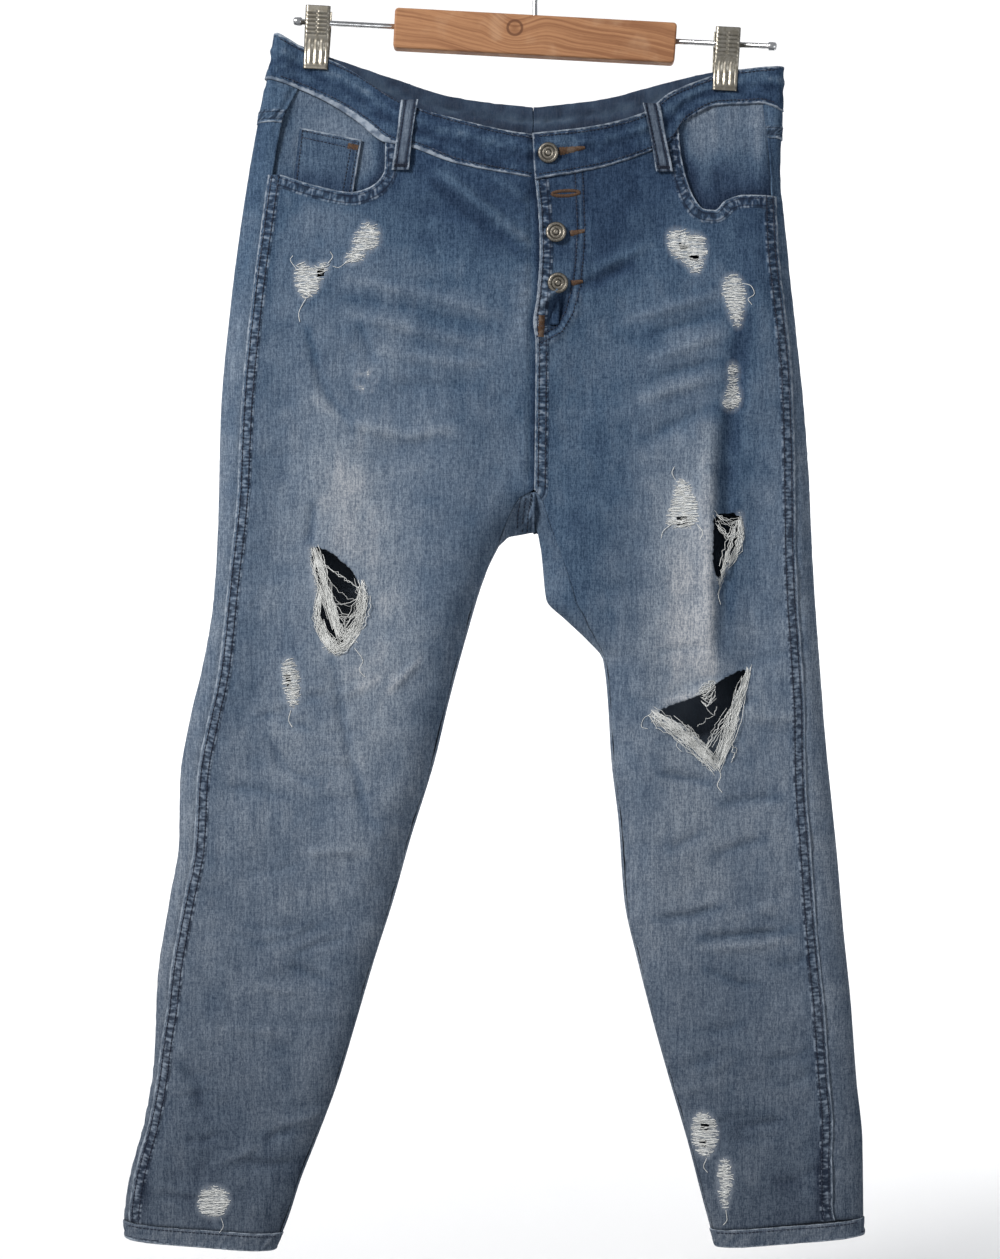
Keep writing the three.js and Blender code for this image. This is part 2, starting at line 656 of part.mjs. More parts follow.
// Strip behind the fly that carries the buttons.
function flyUnderlap() {
  const outline = (s, t) => [mix(UNDERLAP.right, UNDERLAP.left, s), mix(UNDERLAP.top, UNDERLAP.foot, t)];
  return laidPiece(LEFT, FRONT, 6, 2, outline, -(PLY + TUCK), PLY);
}

// ---------------------------------------------------------------- hard pieces

// Half section of a jeans button, [radius, height above the cloth].
const BUTTON_SECTION = [
  [0, 0], [8, 0], [8.4, 1.2], [7.6, 2.8], [6.2, 3], [5.4, 2.2], [2.6, 1.8], [2.2, 2.8], [0, 3],
];
const BUTTON_GAP = 0.9;

function buttonAt(x, drop, proud) {
  const profile = BUTTON_SECTION.map(([radius, height]) => new THREE.Vector2(radius, height));
  const geometry = new THREE.LatheGeometry(profile, 14);
  geometry.rotateX(Math.PI);
  const seat = depthAt(LEFT, FRONT, x, drop) + proud + BUTTON_GAP;
  return geometry.translate(x, -seat, -drop);
}

function cylinderAlongX(radius, length, segments) {
  return new THREE.CylinderGeometry(radius, radius, length, segments).rotateZ(Math.PI / 2);
}

function barGeometry() {
  const flatLong = BAR.long / 2 - BAR.bevel;
  const flatHigh = BAR.high / 2 - BAR.bevel;
  const shape = new THREE.Shape();
  shape.moveTo(-flatLong + BAR.corner, -flatHigh);
  shape.absarc(flatLong - BAR.corner, -flatHigh + BAR.corner, BAR.corner, -Math.PI / 2, 0);
  shape.absarc(flatLong - BAR.corner, flatHigh - BAR.corner, BAR.corner, 0, Math.PI / 2);
  shape.absarc(-flatLong + BAR.corner, flatHigh - BAR.corner, BAR.corner, Math.PI / 2, Math.PI);
  shape.absarc(-flatLong + BAR.corner, -flatHigh + BAR.corner, BAR.corner, Math.PI, Math.PI * 1.5);
  const settings = {
    depth: BAR.thick - 2 * BAR.bevel,
    bevelThickness: BAR.bevel,
    bevelSize: BAR.bevel,
    bevelSegments: 2,
    curveSegments: 3,
  };
  const board = new THREE.ExtrudeGeometry(shape, settings);
  board.translate(0, 0, -settings.depth / 2);
  board.rotateX(Math.PI / 2);
  board.translate(0, 0, -BAR.belowRod);
  const bore = cylinderAlongX(ROD.radius + ROD.clear, BAR.long + 2 * BAR.corner, 16);
  const socketLong = BAR.high;
  const socket = new THREE.CylinderGeometry(HOOK.wire + HOOK.clear, HOOK.wire + HOOK.clear, socketLong, 16);
  socket.rotateX(Math.PI / 2);
  socket.translate(0, 0, socketLong / 2 + ROD.drop - HOOK.foot - 2 * HOOK.clear);
  socket.rotateY(-TILT);
  return cut(board, bore, socket);
}

function rodGeometry() {
  const capStart = ROD.half - ROD.capLong;
  const end = [
    [ROD.radius, capStart], [ROD.capRadius, capStart + 1], [ROD.capRadius, ROD.half - 2],
    [ROD.capRadius - 1.2, ROD.half], [0, ROD.half],
  ];
  const mirrored = end.map(([radius, along]) => [radius, -along]).reverse();
  const profile = [...mirrored, ...end].map(([radius, along]) => new THREE.Vector2(radius, along));
  return new THREE.LatheGeometry(profile, 16).rotateZ(Math.PI / 2);
}

function hookGeometry() {
  const centre = HOOK.bend + HOOK.wire;
  const onBend = (degrees) => {
    const turn = THREE.MathUtils.degToRad(degrees);
    return new THREE.Vector3(centre * Math.cos(turn), 0, centre * Math.sin(turn) - HOOK.bend);
  };
  const midStem = -(HOOK.foot + HOOK.stemTop) / 2;
  const stem = [new THREE.Vector3(0, 0, -HOOK.foot), new THREE.Vector3(0, 0, midStem)];
  const neck = [new THREE.Vector3(2, 0, -HOOK.stemTop), new THREE.Vector3(15, 0, -38)];
  const bend = [-10, 20, 50, 80, 110, 140, 170, 195, 215].map(onBend);
  const path = new THREE.CatmullRomCurve3([...stem, ...neck, ...bend], false, 'centripetal');
  const section = new THREE.Shape().absarc(0, 0, HOOK.wire, 0, Math.PI * 2);
  const settings = { extrudePath: path, steps: 36, curveSegments: 4, bevelEnabled: false };
  return new THREE.ExtrudeGeometry(section, settings);
}

// Turns a shape drawn in depth and height into a solid that runs along X.
function extrudeAlongX(shape, wide) {
  const geometry = new THREE.ExtrudeGeometry(shape, { depth: wide, bevelEnabled: false, curveSegments: 10 });
  geometry.translate(0, 0, -wide / 2);
  const depthAxis = new THREE.Vector3(0, 1, 0);
  const heightAxis = new THREE.Vector3(0, 0, 1);
  const longAxis = new THREE.Vector3(1, 0, 0);
  return geometry.applyMatrix4(new THREE.Matrix4().makeBasis(depthAxis, heightAxis, longAxis));
}

// Jaw plate of a clip, on the side that `sign` gives: -1 in front, +1 behind.
function jawGeometry(sign) {
  const inner = [
    [JAW_HALF, CLIP.foot], [JAW_HALF, CLIP.gap], [CLIP.waistHalf, CLIP.waist], [CLIP.topHalf, CLIP.top],
  ];
  const outer = inner.map(([y, z]) => [y + CLIP.plate, z]).reverse();
  const shape = new THREE.Shape([...inner, ...outer].map(([y, z]) => new THREE.Vector2(sign * y, z)));
  return extrudeAlongX(shape, CLIP.wide);
}

// Link that rides on the rod and carries the spring pin between the jaws.
function linkGeometry() {
  const shape = new THREE.Shape();
  shape.absarc(0, 0, LINK.radius, 0, Math.PI);
  shape.absarc(0, LINK.pin, LINK.radius, Math.PI, Math.PI * 2);
  shape.closePath();
  shape.holes.push(new THREE.Path().absarc(0, 0, ROD.radius + ROD.clear, 0, Math.PI * 2, true));
  return extrudeAlongX(shape, LINK.wide);
}

// ---------------------------------------------------------------- the scene

const group = new THREE.Group();

function finish(color, roughness, metalness = 0) {
  return new THREE.MeshStandardMaterial({ color, roughness, metalness });
}

const DENIM = 0x58759b;
const DENIM_DARK = 0x3d5478;
const STEEL = 0xb9b7b2;
const BRASS = 0x8f8a7c;
const WOOD = 0xa9784f;

function place(name, geometry, material, parent = group) {
  const mesh = new THREE.Mesh(geometry, material);
  mesh.name = name;
  parent.add(mesh);
  return mesh;
}

function denim(color = DENIM) {
  return finish(color, 0.9);
}

place('front_right', frontLeg(RIGHT, mouthCutter(POCKET_RIGHT, RIGHT), THIGH_RIP), denim());
place('front_left', frontLeg(LEFT, mouthCutter(POCKET_LEFT, LEFT), SIDE_RIP, KNEE_RIP), denim());
for (const [side, half] of [['right', RIGHT], ['left', LEFT]]) {
  place(`back_${side}`, backLeg(half), denim());
  place(`yoke_${side}`, yoke(half), denim(DENIM_DARK));
  place(`waistband_${side}`, waistband(half), denim(DENIM_DARK));
  place(`hem_${side}`, hem(half), denim(DENIM_DARK));
}
place('pocket_facing_right', pocketFacing(RIGHT, -116, 244, 2), denim());
place('pocket_facing_left', pocketFacing(LEFT, 113, 250, 1.4), denim());
place('coin_pocket', coinPocket(), denim());
place('back_pocket_right', backPocket(RIGHT, -124), denim());
place('back_pocket_left', backPocket(LEFT, 106), denim());
place('fly_underlap', flyUnderlap(), denim(DENIM_DARK));
place('belt_loop_front_right', beltLoop(RIGHT, FRONT, [-105, 148], [-112, 204]), denim(DENIM_DARK));
place('belt_loop_front_left', beltLoop(LEFT, FRONT, [97, 150], [107, 205]), denim(DENIM_DARK));
place('belt_loop_back_right', beltLoop(RIGHT, BACK, [-112, 125], [-110, 178]), denim(DENIM_DARK));
place('belt_loop_back_left', beltLoop(LEFT, BACK, [104, 130], [102, 182]), denim(DENIM_DARK));
place('belt_loop_back_centre', beltLoop(LEFT, BACK, [0, 146], [0, 200]), denim(DENIM_DARK));
place('button_waist', buttonAt(10.5, 192, BAND_PROUD), finish(BRASS, 0.4, 1));
place('button_fly_upper', buttonAt(17, 258, 0), finish(BRASS, 0.4, 1));
place('button_fly_lower', buttonAt(18.5, 300, 0), finish(BRASS, 0.4, 1));

const hanger = new THREE.Group();
hanger.position.set(0, 0, -ROD.drop);
hanger.rotation.y = TILT;
group.add(hanger);
place('hanger_bar', barGeometry(), finish(WOOD, 0.6), hanger);
place('hanger_rod', rodGeometry(), finish(STEEL, 0.25, 1), hanger);
for (const [side, half] of [['right', RIGHT], ['left', LEFT]]) {
  const clip = new THREE.Group();
  clip.position.set(half.clipX / Math.cos(TILT), 0, 0);
  hanger.add(clip);
  place(`clip_${side}_front`, jawGeometry(-1), finish(STEEL, 0.3, 1), clip);
  place(`clip_${side}_back`, jawGeometry(1), finish(STEEL, 0.3, 1), clip);
  place(`clip_${side}_link`, linkGeometry(), finish(STEEL, 0.3, 1), clip);
}
place('hanger_hook', hookGeometry(), finish(STEEL, 0.25, 1));

export default group;
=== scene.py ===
"""Ripped jeans held by their waistband on a wooden clip hanger.

Sizes are in millimetres until a mesh is made, +Z is up and the front faces -Y. The origin is the point inside
the hook that bears on a rail. A "drop" is a distance straight down from it. Left and right are the wearer's.
"""

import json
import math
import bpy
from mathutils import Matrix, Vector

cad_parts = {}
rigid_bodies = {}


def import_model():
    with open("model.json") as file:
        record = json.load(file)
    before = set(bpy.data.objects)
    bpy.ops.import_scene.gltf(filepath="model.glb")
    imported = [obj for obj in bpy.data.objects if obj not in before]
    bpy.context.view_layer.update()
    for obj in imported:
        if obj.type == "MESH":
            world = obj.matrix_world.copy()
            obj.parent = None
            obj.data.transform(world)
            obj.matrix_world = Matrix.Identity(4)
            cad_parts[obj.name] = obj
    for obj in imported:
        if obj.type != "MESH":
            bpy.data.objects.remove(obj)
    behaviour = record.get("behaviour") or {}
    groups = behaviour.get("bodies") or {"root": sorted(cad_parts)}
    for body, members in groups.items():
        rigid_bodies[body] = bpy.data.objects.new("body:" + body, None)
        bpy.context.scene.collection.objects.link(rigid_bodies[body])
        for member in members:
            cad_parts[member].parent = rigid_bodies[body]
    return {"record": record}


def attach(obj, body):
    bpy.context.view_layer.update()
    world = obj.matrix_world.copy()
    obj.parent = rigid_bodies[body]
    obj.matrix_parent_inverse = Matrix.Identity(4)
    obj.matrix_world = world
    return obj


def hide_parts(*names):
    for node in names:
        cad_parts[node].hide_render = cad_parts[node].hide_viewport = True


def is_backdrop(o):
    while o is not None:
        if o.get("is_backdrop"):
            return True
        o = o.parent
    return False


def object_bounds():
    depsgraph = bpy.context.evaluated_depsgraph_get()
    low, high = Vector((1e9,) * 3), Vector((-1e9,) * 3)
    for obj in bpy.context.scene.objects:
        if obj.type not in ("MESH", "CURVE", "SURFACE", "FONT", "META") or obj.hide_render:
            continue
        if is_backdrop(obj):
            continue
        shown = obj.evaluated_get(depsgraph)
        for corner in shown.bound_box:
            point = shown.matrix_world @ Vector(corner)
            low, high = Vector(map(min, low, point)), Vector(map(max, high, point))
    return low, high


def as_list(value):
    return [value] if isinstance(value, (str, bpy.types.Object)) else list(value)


bl_info = {
    "name": "Ripped Jeans on a Clip Hanger",
    "version": (1, 0, 0),
    "blender": (4, 5, 0),
    "location": "View3D > Sidebar > Jeans",
    "description": "Builds worn denim jeans, their hanger and a studio over a fixed frame",
    "category": "Add Mesh",
}

import bmesh
import bpy
import numpy as np
from bpy.props import FloatProperty, FloatVectorProperty, IntProperty, PointerProperty
from mathutils import Matrix, Vector
from mathutils.bvhtree import BVHTree

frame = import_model()
cad_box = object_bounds()
CAD_NODES = {s["node"] for s in frame["record"]["subparts"]}

MM = 0.001

# ---------------------------------------------------------------- sizes of the cut

WALL = 1.2  # one ply of denim
BAND_WALL = 2.6
HEM_WALL = 3.0
LOOP_WALL = 2.2
BAND_PROUD = 0.6  # how far the waistband and hems stand out of the legs
FOLD_RADIUS = 34  # of the hanging cloth at its sides
CORNER_RADIUS = 7  # of the same where the clips press it flat
CLIP_HALF = 3.2  # half depth of the waist between the jaws of a clip
CORNER_HALF = 6.4  # half depth of the waist outside a clip
WAIST_REACH = 75  # how far a pinch dies away towards the middle
CORNER_REACH = 9  # and towards the corner
CLIP_FLAT = 15
CLIP_BITE = 16
SETTLE = 116  # the drop in which the pinch opens out
CENTRE_X = -1
JOIN_DROP = 471  # where the inseams of the fronts meet
FORK_DROP = 506  # where those of the backs meet
HEM_HEIGHT = 15
LOOP_WIDE = 13.5

# Places down a leg as parts of its length: the fork of the front and of the back, the yoke, the end of the
# spread from the fork, and the run in which a back turns from seat to leg.
JOIN_V = 11 / 26
FORK_V = 9 / 26
YOKE_V = 2 / 26
CALM_V = 0.56
LEG_V = 3 / 26

# The back is laid in columns: the strip round the side, the seat, and the fork or inside of the leg.
STRIP = 3
SEAT = 8
FORK = 2

STITCH_ROWS = (3.1, 9.0)  # in from the edge of a seam
J_ROW = -6.2  # the second row of the fly's curved stitching from the first
STITCH_RADIUS = 0.42
SHARP = math.radians(60)  # edges sharper than this are eased

CENTRE_FRONT = [(172, -3), (207, -1), (243, 2.5), (272, 3.4), (311, 1), (332, -2), (350, 0), (471, -1)]

FRONT = {
    "sign": -1,
    "waist_half": 24,
    "depth": [(200, 23), (330, 26), (470, 25), (600, 23), (800, 19), (950, 17), (1105, 14)],
    "closing": [(430, 0), (471, 0.5), (512, 1)],
}
BACK = {
    "sign": 1,
    "waist_half": 17,
    "depth": [(200, 18), (330, 22), (470, 21), (600, 19), (800, 16), (950, 15), (1105, 13)],
    "closing": [(450, 0), (506, 1)],
}

RIGHT = {
    "name": "right",
    "out": -1,
    "clip_x": -182,
    "corner_x": -221,
    "side": [
        (87, -218), (142, -229), (209, -241), (310, -255), (411, -264), (495, -266), (562, -270),
        (612, -278), (663, -290), (713, -298), (764, -299), (814, -307), (881, -317), (948, -320),
        (999, -328), (1049, -341), (1084, -345), (1104, -342),
    ],
    "window": [(471, -1), (478, -13)],
    "inner": [
        (512, -28), (545, -43), (587, -56), (646, -72), (696, -84), (764, -105), (814, -119), (864, -135),
        (915, -150), (965, -165), (1016, -184), (1049, -197), (1083, -208), (1106, -218),
    ],
    "outseam": [
        (133, 26), (164, 18.5), (258, 20), (332, 20), (461, 18.5), (562, 13), (646, 17.5), (730, 16),
        (814, 13.5), (898, 11), (940, 6), (1007, 4.5), (1100, 4.5),
    ],
    "inseam": [(471, 0.6), (512, 2)],
    "front_top": [(0, 176), (7, 175.5), (63, 163), (110, 146), (151, 119), (182, 104), (194, 99), (218, 87)],
    "front_seam": [
        (0, 212.5), (63, 200), (101, 185), (118, 181), (142, 162), (165, 147), (201, 131), (225, 124),
    ],
    "back_top": [(0, 144.5), (63, 137), (122, 121), (182, 102), (218, 87)],
    "back_seam": [(0, 182), (63, 174), (122, 158), (182, 139), (225, 124)],
    "yoke_seam": [(0, 256), (80, 232), (160, 200), (228, 163)],
    "yoke_side_drop": 163,
    "outseam_top": 131,
    "hem_inner": 1092,
    "hem_outer": 1082,
    "mouth": [(-125, 160), (-125, 203), (-133, 217), (-153, 224), (-180, 219), (-211, 209)],
}
LEFT = {
    "name": "left",
    "out": 1,
    "clip_x": 161,
    "corner_x": 208,
    "side": [
        (115, 208), (159, 207.5), (201, 206), (260, 211), (327, 218), (394, 225), (461, 230), (528, 233),
        (629, 240), (680, 244), (730, 249), (780, 254), (839, 259), (898, 265), (965, 270), (1016, 275),
        (1105, 276),
    ],
    "window": [(471, -1)],
    "inner": [
        (512, 4), (537, 6), (562, 9), (579, 26), (596, 44), (612, 57), (646, 61), (696, 64), (747, 70),
        (814, 75), (864, 86), (915, 99), (965, 113), (1016, 128), (1066, 141), (1106, 152),
    ],
    "outseam": [
        (150, 14), (209, 6), (276, 10), (352, 9.5), (394, 11), (478, 15), (562, 17), (646, 17.6), (730, 23),
        (814, 24.4), (982, 25), (1032, 28), (1067, 28), (1100, 19),
    ],
    "inseam": [(471, 0.6), (478, 5), (499, 9), (528, 17), (562, 24), (587, 11), (608, 2)],
    "front_top": [(0, 175.5), (44, 170), (91, 156), (114, 137.5), (150, 122), (161, 118), (208, 115)],
    "front_seam": [
        (0, 213.5), (55, 203), (93, 190), (114, 179), (126, 161), (155, 147), (188, 146), (207, 152),
    ],
    "back_top": [(0, 144.5), (55, 139), (114, 126), (161, 117), (208, 115)],
    "back_seam": [(0, 182), (55, 176), (114, 163), (161, 154), (207, 152)],
    "yoke_seam": [(0, 256), (80, 230), (150, 200), (206, 176)],
    "yoke_side_drop": 176,
    "outseam_top": 150,
    "hem_inner": 1089,
    "hem_outer": 1079,
    "mouth": [
        (119, 160), (121, 186), (126, 213), (140, 238), (149, 239), (157, 231), (173, 226), (203, 226),
    ],
}

HALVES = (RIGHT, LEFT)
JAWS = ("front", "back")

# Broad folds: face, from (x, drop), to (x, drop), reach, height.
FOLDS = [
    (FRONT, (140, 425), (146, 640), 22, 4),
    (FRONT, (176, 430), (178, 610), 20, -4),
    (FRONT, (-60, 420), (-150, 760), 30, 3.5),
    (FRONT, (-210, 420), (-230, 700), 28, -3),
    (FRONT, (40, 500), (120, 760), 26, 3),
    (FRONT, (-100, 260), (-30, 420), 34, -3),
    (FRONT, (90, 260), (30, 420), 34, -3),
    (BACK, (-120, 400), (-60, 500), 30, -4),
    (BACK, (110, 400), (50, 500), 30, -4),
    (BACK, (-150, 560), (-190, 760), 28, -4),
    (BACK, (130, 560), (150, 760), 28, -4),
]

CREASE_DEPTH = 2.1
# Creases listed one by one: face, path of (x, drop), half width, height.
CREASES = [
    (FRONT, [(-79, 207), (-46, 234), (-5, 266)], 5, 1.7),
    (FRONT, [(-84, 216), (-52, 243), (-8, 277)], 5, -1.2),
    (FRONT, [(-34, 212), (-5, 232)], 4, 1.1),
    (FRONT, [(-189, 338), (-175, 388), (-150, 421)], 4, -1.7),
    (FRONT, [(-146, 334), (-133, 363)], 4, -1.2),
    (FRONT, [(-154, 297), (-92, 309), (-29, 326)], 5, 1.1),
    (FRONT, [(-154, 312), (-100, 322), (-40, 338)], 5, -0.8),
    (FRONT, [(-154, 326), (-100, 338), (-46, 351)], 5, 1.1),
    (FRONT, [(-133, 355), (-92, 363), (-46, 367)], 5, 1.0),
    (FRONT, [(-125, 385), (-46, 385)], 6, -1.0),
    (FRONT, [(-183, 396), (-154, 417), (-104, 427), (-71, 421)], 5, 1.3),
    (FRONT, [(49, 288), (95, 268)], 5, 1.0),
    (FRONT, [(78, 330), (153, 309)], 5, 1.3),
    (FRONT, [(95, 342), (153, 326)], 4, -1.1),
    (FRONT, [(95, 363), (157, 342)], 5, 1.1),
    (FRONT, [(95, 380), (153, 363)], 4, -1.0),
    (FRONT, [(87, 396), (153, 376)], 5, 1.1),
    (FRONT, [(91, 429), (149, 400)], 5, -1.1),
    (FRONT, [(36, 303), (54, 297), (78, 284)], 5, -1.5),
    (FRONT, [(143, 421), (143, 504), (143, 620)], 7, 2.4),
    (FRONT, [(172, 330), (168, 380), (161, 438), (157, 504), (157, 608)], 8, -2.6),
    (FRONT, [(-168, 608), (-158, 670), (-141, 741), (-129, 753)], 4, -1.6),
    (FRONT, [(-224, 674), (-208, 703), (-183, 716)], 3.5, -1.3),
    (FRONT, [(-220, 658), (-191, 670)], 3.5, -1.1),
    (FRONT, [(-121, 637), (-96, 612)], 4, 1.2),
    (FRONT, [(-208, 865), (-170, 882)], 3.5, -1.1),
    (FRONT, [(-295, 948), (-283, 969), (-274, 994)], 4, -1.5),
    (FRONT, [(-224, 1010), (-200, 1004)], 4, -1.1),
    (FRONT, [(103, 707), (145, 714)], 3.5, -1.5),
    (FRONT, [(153, 732), (203, 726)], 4, -1.4),
    (FRONT, [(149, 774), (191, 761)], 4, -1.3),
    (FRONT, [(99, 828), (128, 826), (157, 817)], 3.5, -2.0),
    (FRONT, [(137, 844), (174, 842), (211, 838)], 3.5, -2.1),
    (FRONT, [(137, 851), (174, 849), (211, 845)], 4, 1.0),
    (FRONT, [(112, 770), (137, 757)], 4, -1.1),
    (FRONT, [(141, 869), (170, 882), (186, 882)], 3.5, -1.1),
    (FRONT, [(166, 1002), (207, 996)], 4, -1.3),
    (FRONT, [(161, 649), (182, 645)], 3.5, -1.3),
    (FRONT, [(22, 303), (11, 311), (3, 322)], 2.4, 1.8),
    (FRONT, [(26, 310), (19, 326), (11, 339)], 7, -3.6),
    (FRONT, [(34, 305), (31, 325), (20, 341), (9, 349)], 3.4, 1.5),
    (FRONT, [(-185, 480), (-186, 516)], 3, -1.6),
    (BACK, [(-150, 430), (-90, 455), (-30, 470)], 7, 1.8),
    (BACK, [(-160, 446), (-95, 472), (-34, 488)], 6, -1.6),
    (BACK, [(150, 432), (90, 456), (30, 472)], 7, 1.8),
    (BACK, [(160, 448), (95, 474), (32, 490)], 6, -1.6),
    (BACK, [(-240, 560), (-180, 575), (-120, 565)], 6, 1.4),
    (BACK, [(-250, 690), (-200, 705), (-130, 690)], 5, -1.6),
    (BACK, [(-255, 712), (-205, 726), (-140, 715)], 5, 1.3),
    (BACK, [(-270, 745), (-215, 752), (-150, 742)], 5, -1.5),
    (BACK, [(220, 570), (150, 582), (90, 574)], 6, 1.4),
    (BACK, [(230, 694), (170, 708), (95, 696)], 5, -1.6),
    (BACK, [(234, 716), (175, 730), (100, 720)], 5, 1.3),
    (BACK, [(240, 750), (185, 758), (110, 748)], 5, -1.5),
    (BACK, [(-300, 900), (-250, 915), (-190, 900)], 5, -1.3),
    (BACK, [(255, 905), (200, 915), (140, 902)], 5, -1.3),
    (BACK, [(-320, 1010), (-270, 1020), (-215, 1010)], 5, 1.1),
    (BACK, [(262, 1015), (215, 1022), (160, 1012)], 5, 1.1),
]


# Open rips, as outlines of (x, drop).
THIGH_RIP = [
    (-185, 517), (-170, 522), (-152, 537), (-142, 556), (-144, 575), (-154, 596), (-164, 608), (-174, 603),
    (-180, 579), (-180, 554), (-185, 528),
]
SIDE_RIP = [(147, 491), (170, 490), (171, 504), (164, 521), (157, 537), (150, 546), (146, 529), (147, 508)]
KNEE_RIP = [
    (98, 655), (120, 647), (137, 641), (146, 633), (166, 622), (177, 619), (168, 637), (160, 658), (155, 683),
    (149, 698), (142, 687), (130, 672), (116, 662),
]
PIN_HOLES = [
    [(-181, 288), (-175, 288), (-175, 294), (-181, 295)],
    [(-208, 625), (-204, 622), (-203, 630), (-206, 635)],
    [(119, 266), (127, 268), (125, 273), (120, 271)],
    [(128, 275), (136, 277), (134, 282), (128, 280)],
    [(117, 494), (125, 493), (126, 500), (117, 501)],
    [(138, 997), (145, 1000), (143, 1005), (137, 1004)],
    [(137, 1011), (143, 1013), (142, 1019), (137, 1017)],
]
# Places worn down to the white weft, as outlines of (x, drop).
BARED = [
    [(-141, 249), (-132, 252), (-129, 260), (-131, 269), (-139, 273), (-145, 282), (-156, 284), (-158, 279),
     (-151, 272), (-151, 263), (-146, 256)],
    [(-198, 287), (-193, 282), (-185, 288), (-175, 282), (-171, 287), (-177, 294), (-180, 305), (-190, 313),
     (-195, 310), (-199, 298)],
    [(-209, 612), (-203, 610), (-199, 619), (-195, 630), (-197, 645), (-202, 655), (-206, 645), (-210, 629)],
    [(-278, 1054), (-268, 1050), (-257, 1054), (-255, 1065), (-262, 1077), (-276, 1076), (-281, 1067)],
    [(110, 257), (117, 254), (127, 258), (139, 260), (142, 272), (138, 287), (132, 293), (123, 282),
     (114, 277), (110, 267)],
    [(156, 295), (165, 292), (171, 298), (174, 313), (171, 328), (168, 338), (163, 332), (158, 317),
     (155, 305)],
    [(160, 368), (164, 365), (168, 370), (166, 383), (170, 391), (168, 403), (158, 405), (155, 396),
     (161, 385)],
    [(117, 463), (123, 461), (130, 473), (135, 489), (133, 499), (123, 504), (110, 501), (109, 493),
     (115, 476)],
    [(133, 992), (140, 988), (148, 994), (152, 1004), (150, 1019), (142, 1029), (134, 1020), (131, 1007)],
    [(154, 1030), (161, 1027), (164, 1040), (162, 1057), (159, 1072), (155, 1065), (153, 1047)],
]
# Frayed rims of the open rips, worn white as well.
FRAYED_RIMS = [
    ([(-186, 520), (-182, 548), (-178, 578), (-174, 602), (-163, 608), (-152, 596), (-143, 574)], 1.8),
    ([(98, 655), (116, 663), (130, 673), (142, 688), (149, 698), (155, 683), (160, 658), (168, 637)], 1.8),
    ([(170, 492), (170, 506), (163, 522), (156, 538), (150, 545)], 1.6),
    ([(136, 641), (146, 632)], 4),
]

# Colour of the cloth: how far it is washed out, 0 dark to 1 pale, by drop.
WASHED = [
    (100, 0.24), (200, 0.28), (260, 0.40), (330, 0.50), (420, 0.56), (520, 0.58), (650, 0.62), (800, 0.62),
    (920, 0.51), (1010, 0.46), (1105, 0.43),
]
# Lighter and darker places, most of them wear and some painted shade: x, drop, reach across, reach down,
# amount.
FADES_AND_SHADE = [
    (-150, 500, 55, 85, 0.22), (-150, 490, 30, 45, 0.10), (-130, 640, 50, 90, 0.12),
    (-185, 690, 30, 34, 0.12), (122, 565, 26, 115, 0.34), (110, 480, 30, 40, 0.10),
    # (165, 470) darkens the trough of a fold on the left thigh: painted shade.
    (165, 470, 13, 110, -0.14), (40, 450, 44, 110, -0.16), (20, 560, 30, 70, -0.12),
    (-55, 235, 70, 40, -0.10), (62, 235, 52, 60, -0.20), (-170, 390, 60, 60, 0.08),
    (150, 640, 30, 60, 0.08), (128, 790, 30, 90, 0.10), (170, 940, 60, 70, -0.12),
    # (20, 324) is painted shade in the fly's hollow under the lowest button.
    (-240, 1060, 90, 50, -0.06), (-30, 480, 26, 60, -0.10), (20, 324, 8, 13, -0.42),
    (-225, 300, 20, 120, -0.06), (185, 420, 26, 120, -0.05), (-175, 250, 40, 40, 0.10),
    (-8, 320, 16, 26, 0.14), (205, 620, 16, 200, 0.08), (-70, 620, 22, 120, -0.08),
    (-165, 470, 26, 40, 0.12), (215, 1070, 60, 50, -0.10), (45, 240, 36, 40, -0.03),
    (185, 300, 22, 80, -0.06), (-150, 300, 80, 60, 0.05), (125, 540, 30, 60, 0.06),
    # (238, 1048) and (-326, 1046) are painted shadow where the backs fold behind the fronts near the hems.
    (238, 1048, 5, 26, -0.35), (-326, 1046, 5, 26, -0.30), (190, 940, 40, 60, 0.14),
]


# ---------------------------------------------------------------- curves and surfaces


def mix(a, b, t):
    return a + (b - a) * t


def smooth(t):
    """Eases from 0 to 1 as t goes from 0 to 1."""
    held = np.clip(t, 0, 1)
    return held * held * (3 - 2 * held)


def hump(value, place, width):
    """1 where value is at place, falling away smoothly over about a width on both sides."""
    return np.exp(-(((value - place) / width) ** 2))


def drawn(point):
    """x and drop of points."""
    return point[..., 0], -point[..., 2]


def curve(points, place):
    """Value at each place on the smooth curve that never overshoots its (place, value) pairs."""
    at, value = np.array(points, float).T
    place = np.clip(np.asarray(place, float), at[0], at[-1])
    slope = np.diff(value) / np.diff(at)
    before, after = slope[:-1], slope[1:]
    total = np.where(before + after == 0, 1, before + after)
    held = np.where(before * after > 0, 2 * before * after / total, 0)
    tangent = np.concatenate([slope[:1], held, slope[-1:]])
    i = np.clip(np.searchsorted(at, place, side="right") - 1, 0, len(slope) - 1)
    span = at[i + 1] - at[i]
    t = (place - at[i]) / span
    risen = mix(value[i], value[i + 1], t * t * (3 - 2 * t))
    return risen + t * (1 - t) ** 2 * span * tangent[i] + t * t * (t - 1) * span * tangent[i + 1]


def rumple(u, v, cell, seed):
    """Smooth random height from -1 to 1 with bumps about one cell apart."""
    lattice = np.random.default_rng(seed).uniform(-1, 1, (101, 103))
    u, v = np.asarray(u, float) / cell + 500, np.asarray(v, float) / cell + 500
    i, j = np.floor(u).astype(int), np.floor(v).astype(int)
    a, b = smooth(u - i), smooth(v - j)

    def at(p, q):
        return lattice[p % 101, q % 103]

    return mix(mix(at(i, j), at(i + 1, j), a), mix(at(i, j + 1), at(i + 1, j + 1), a), b)


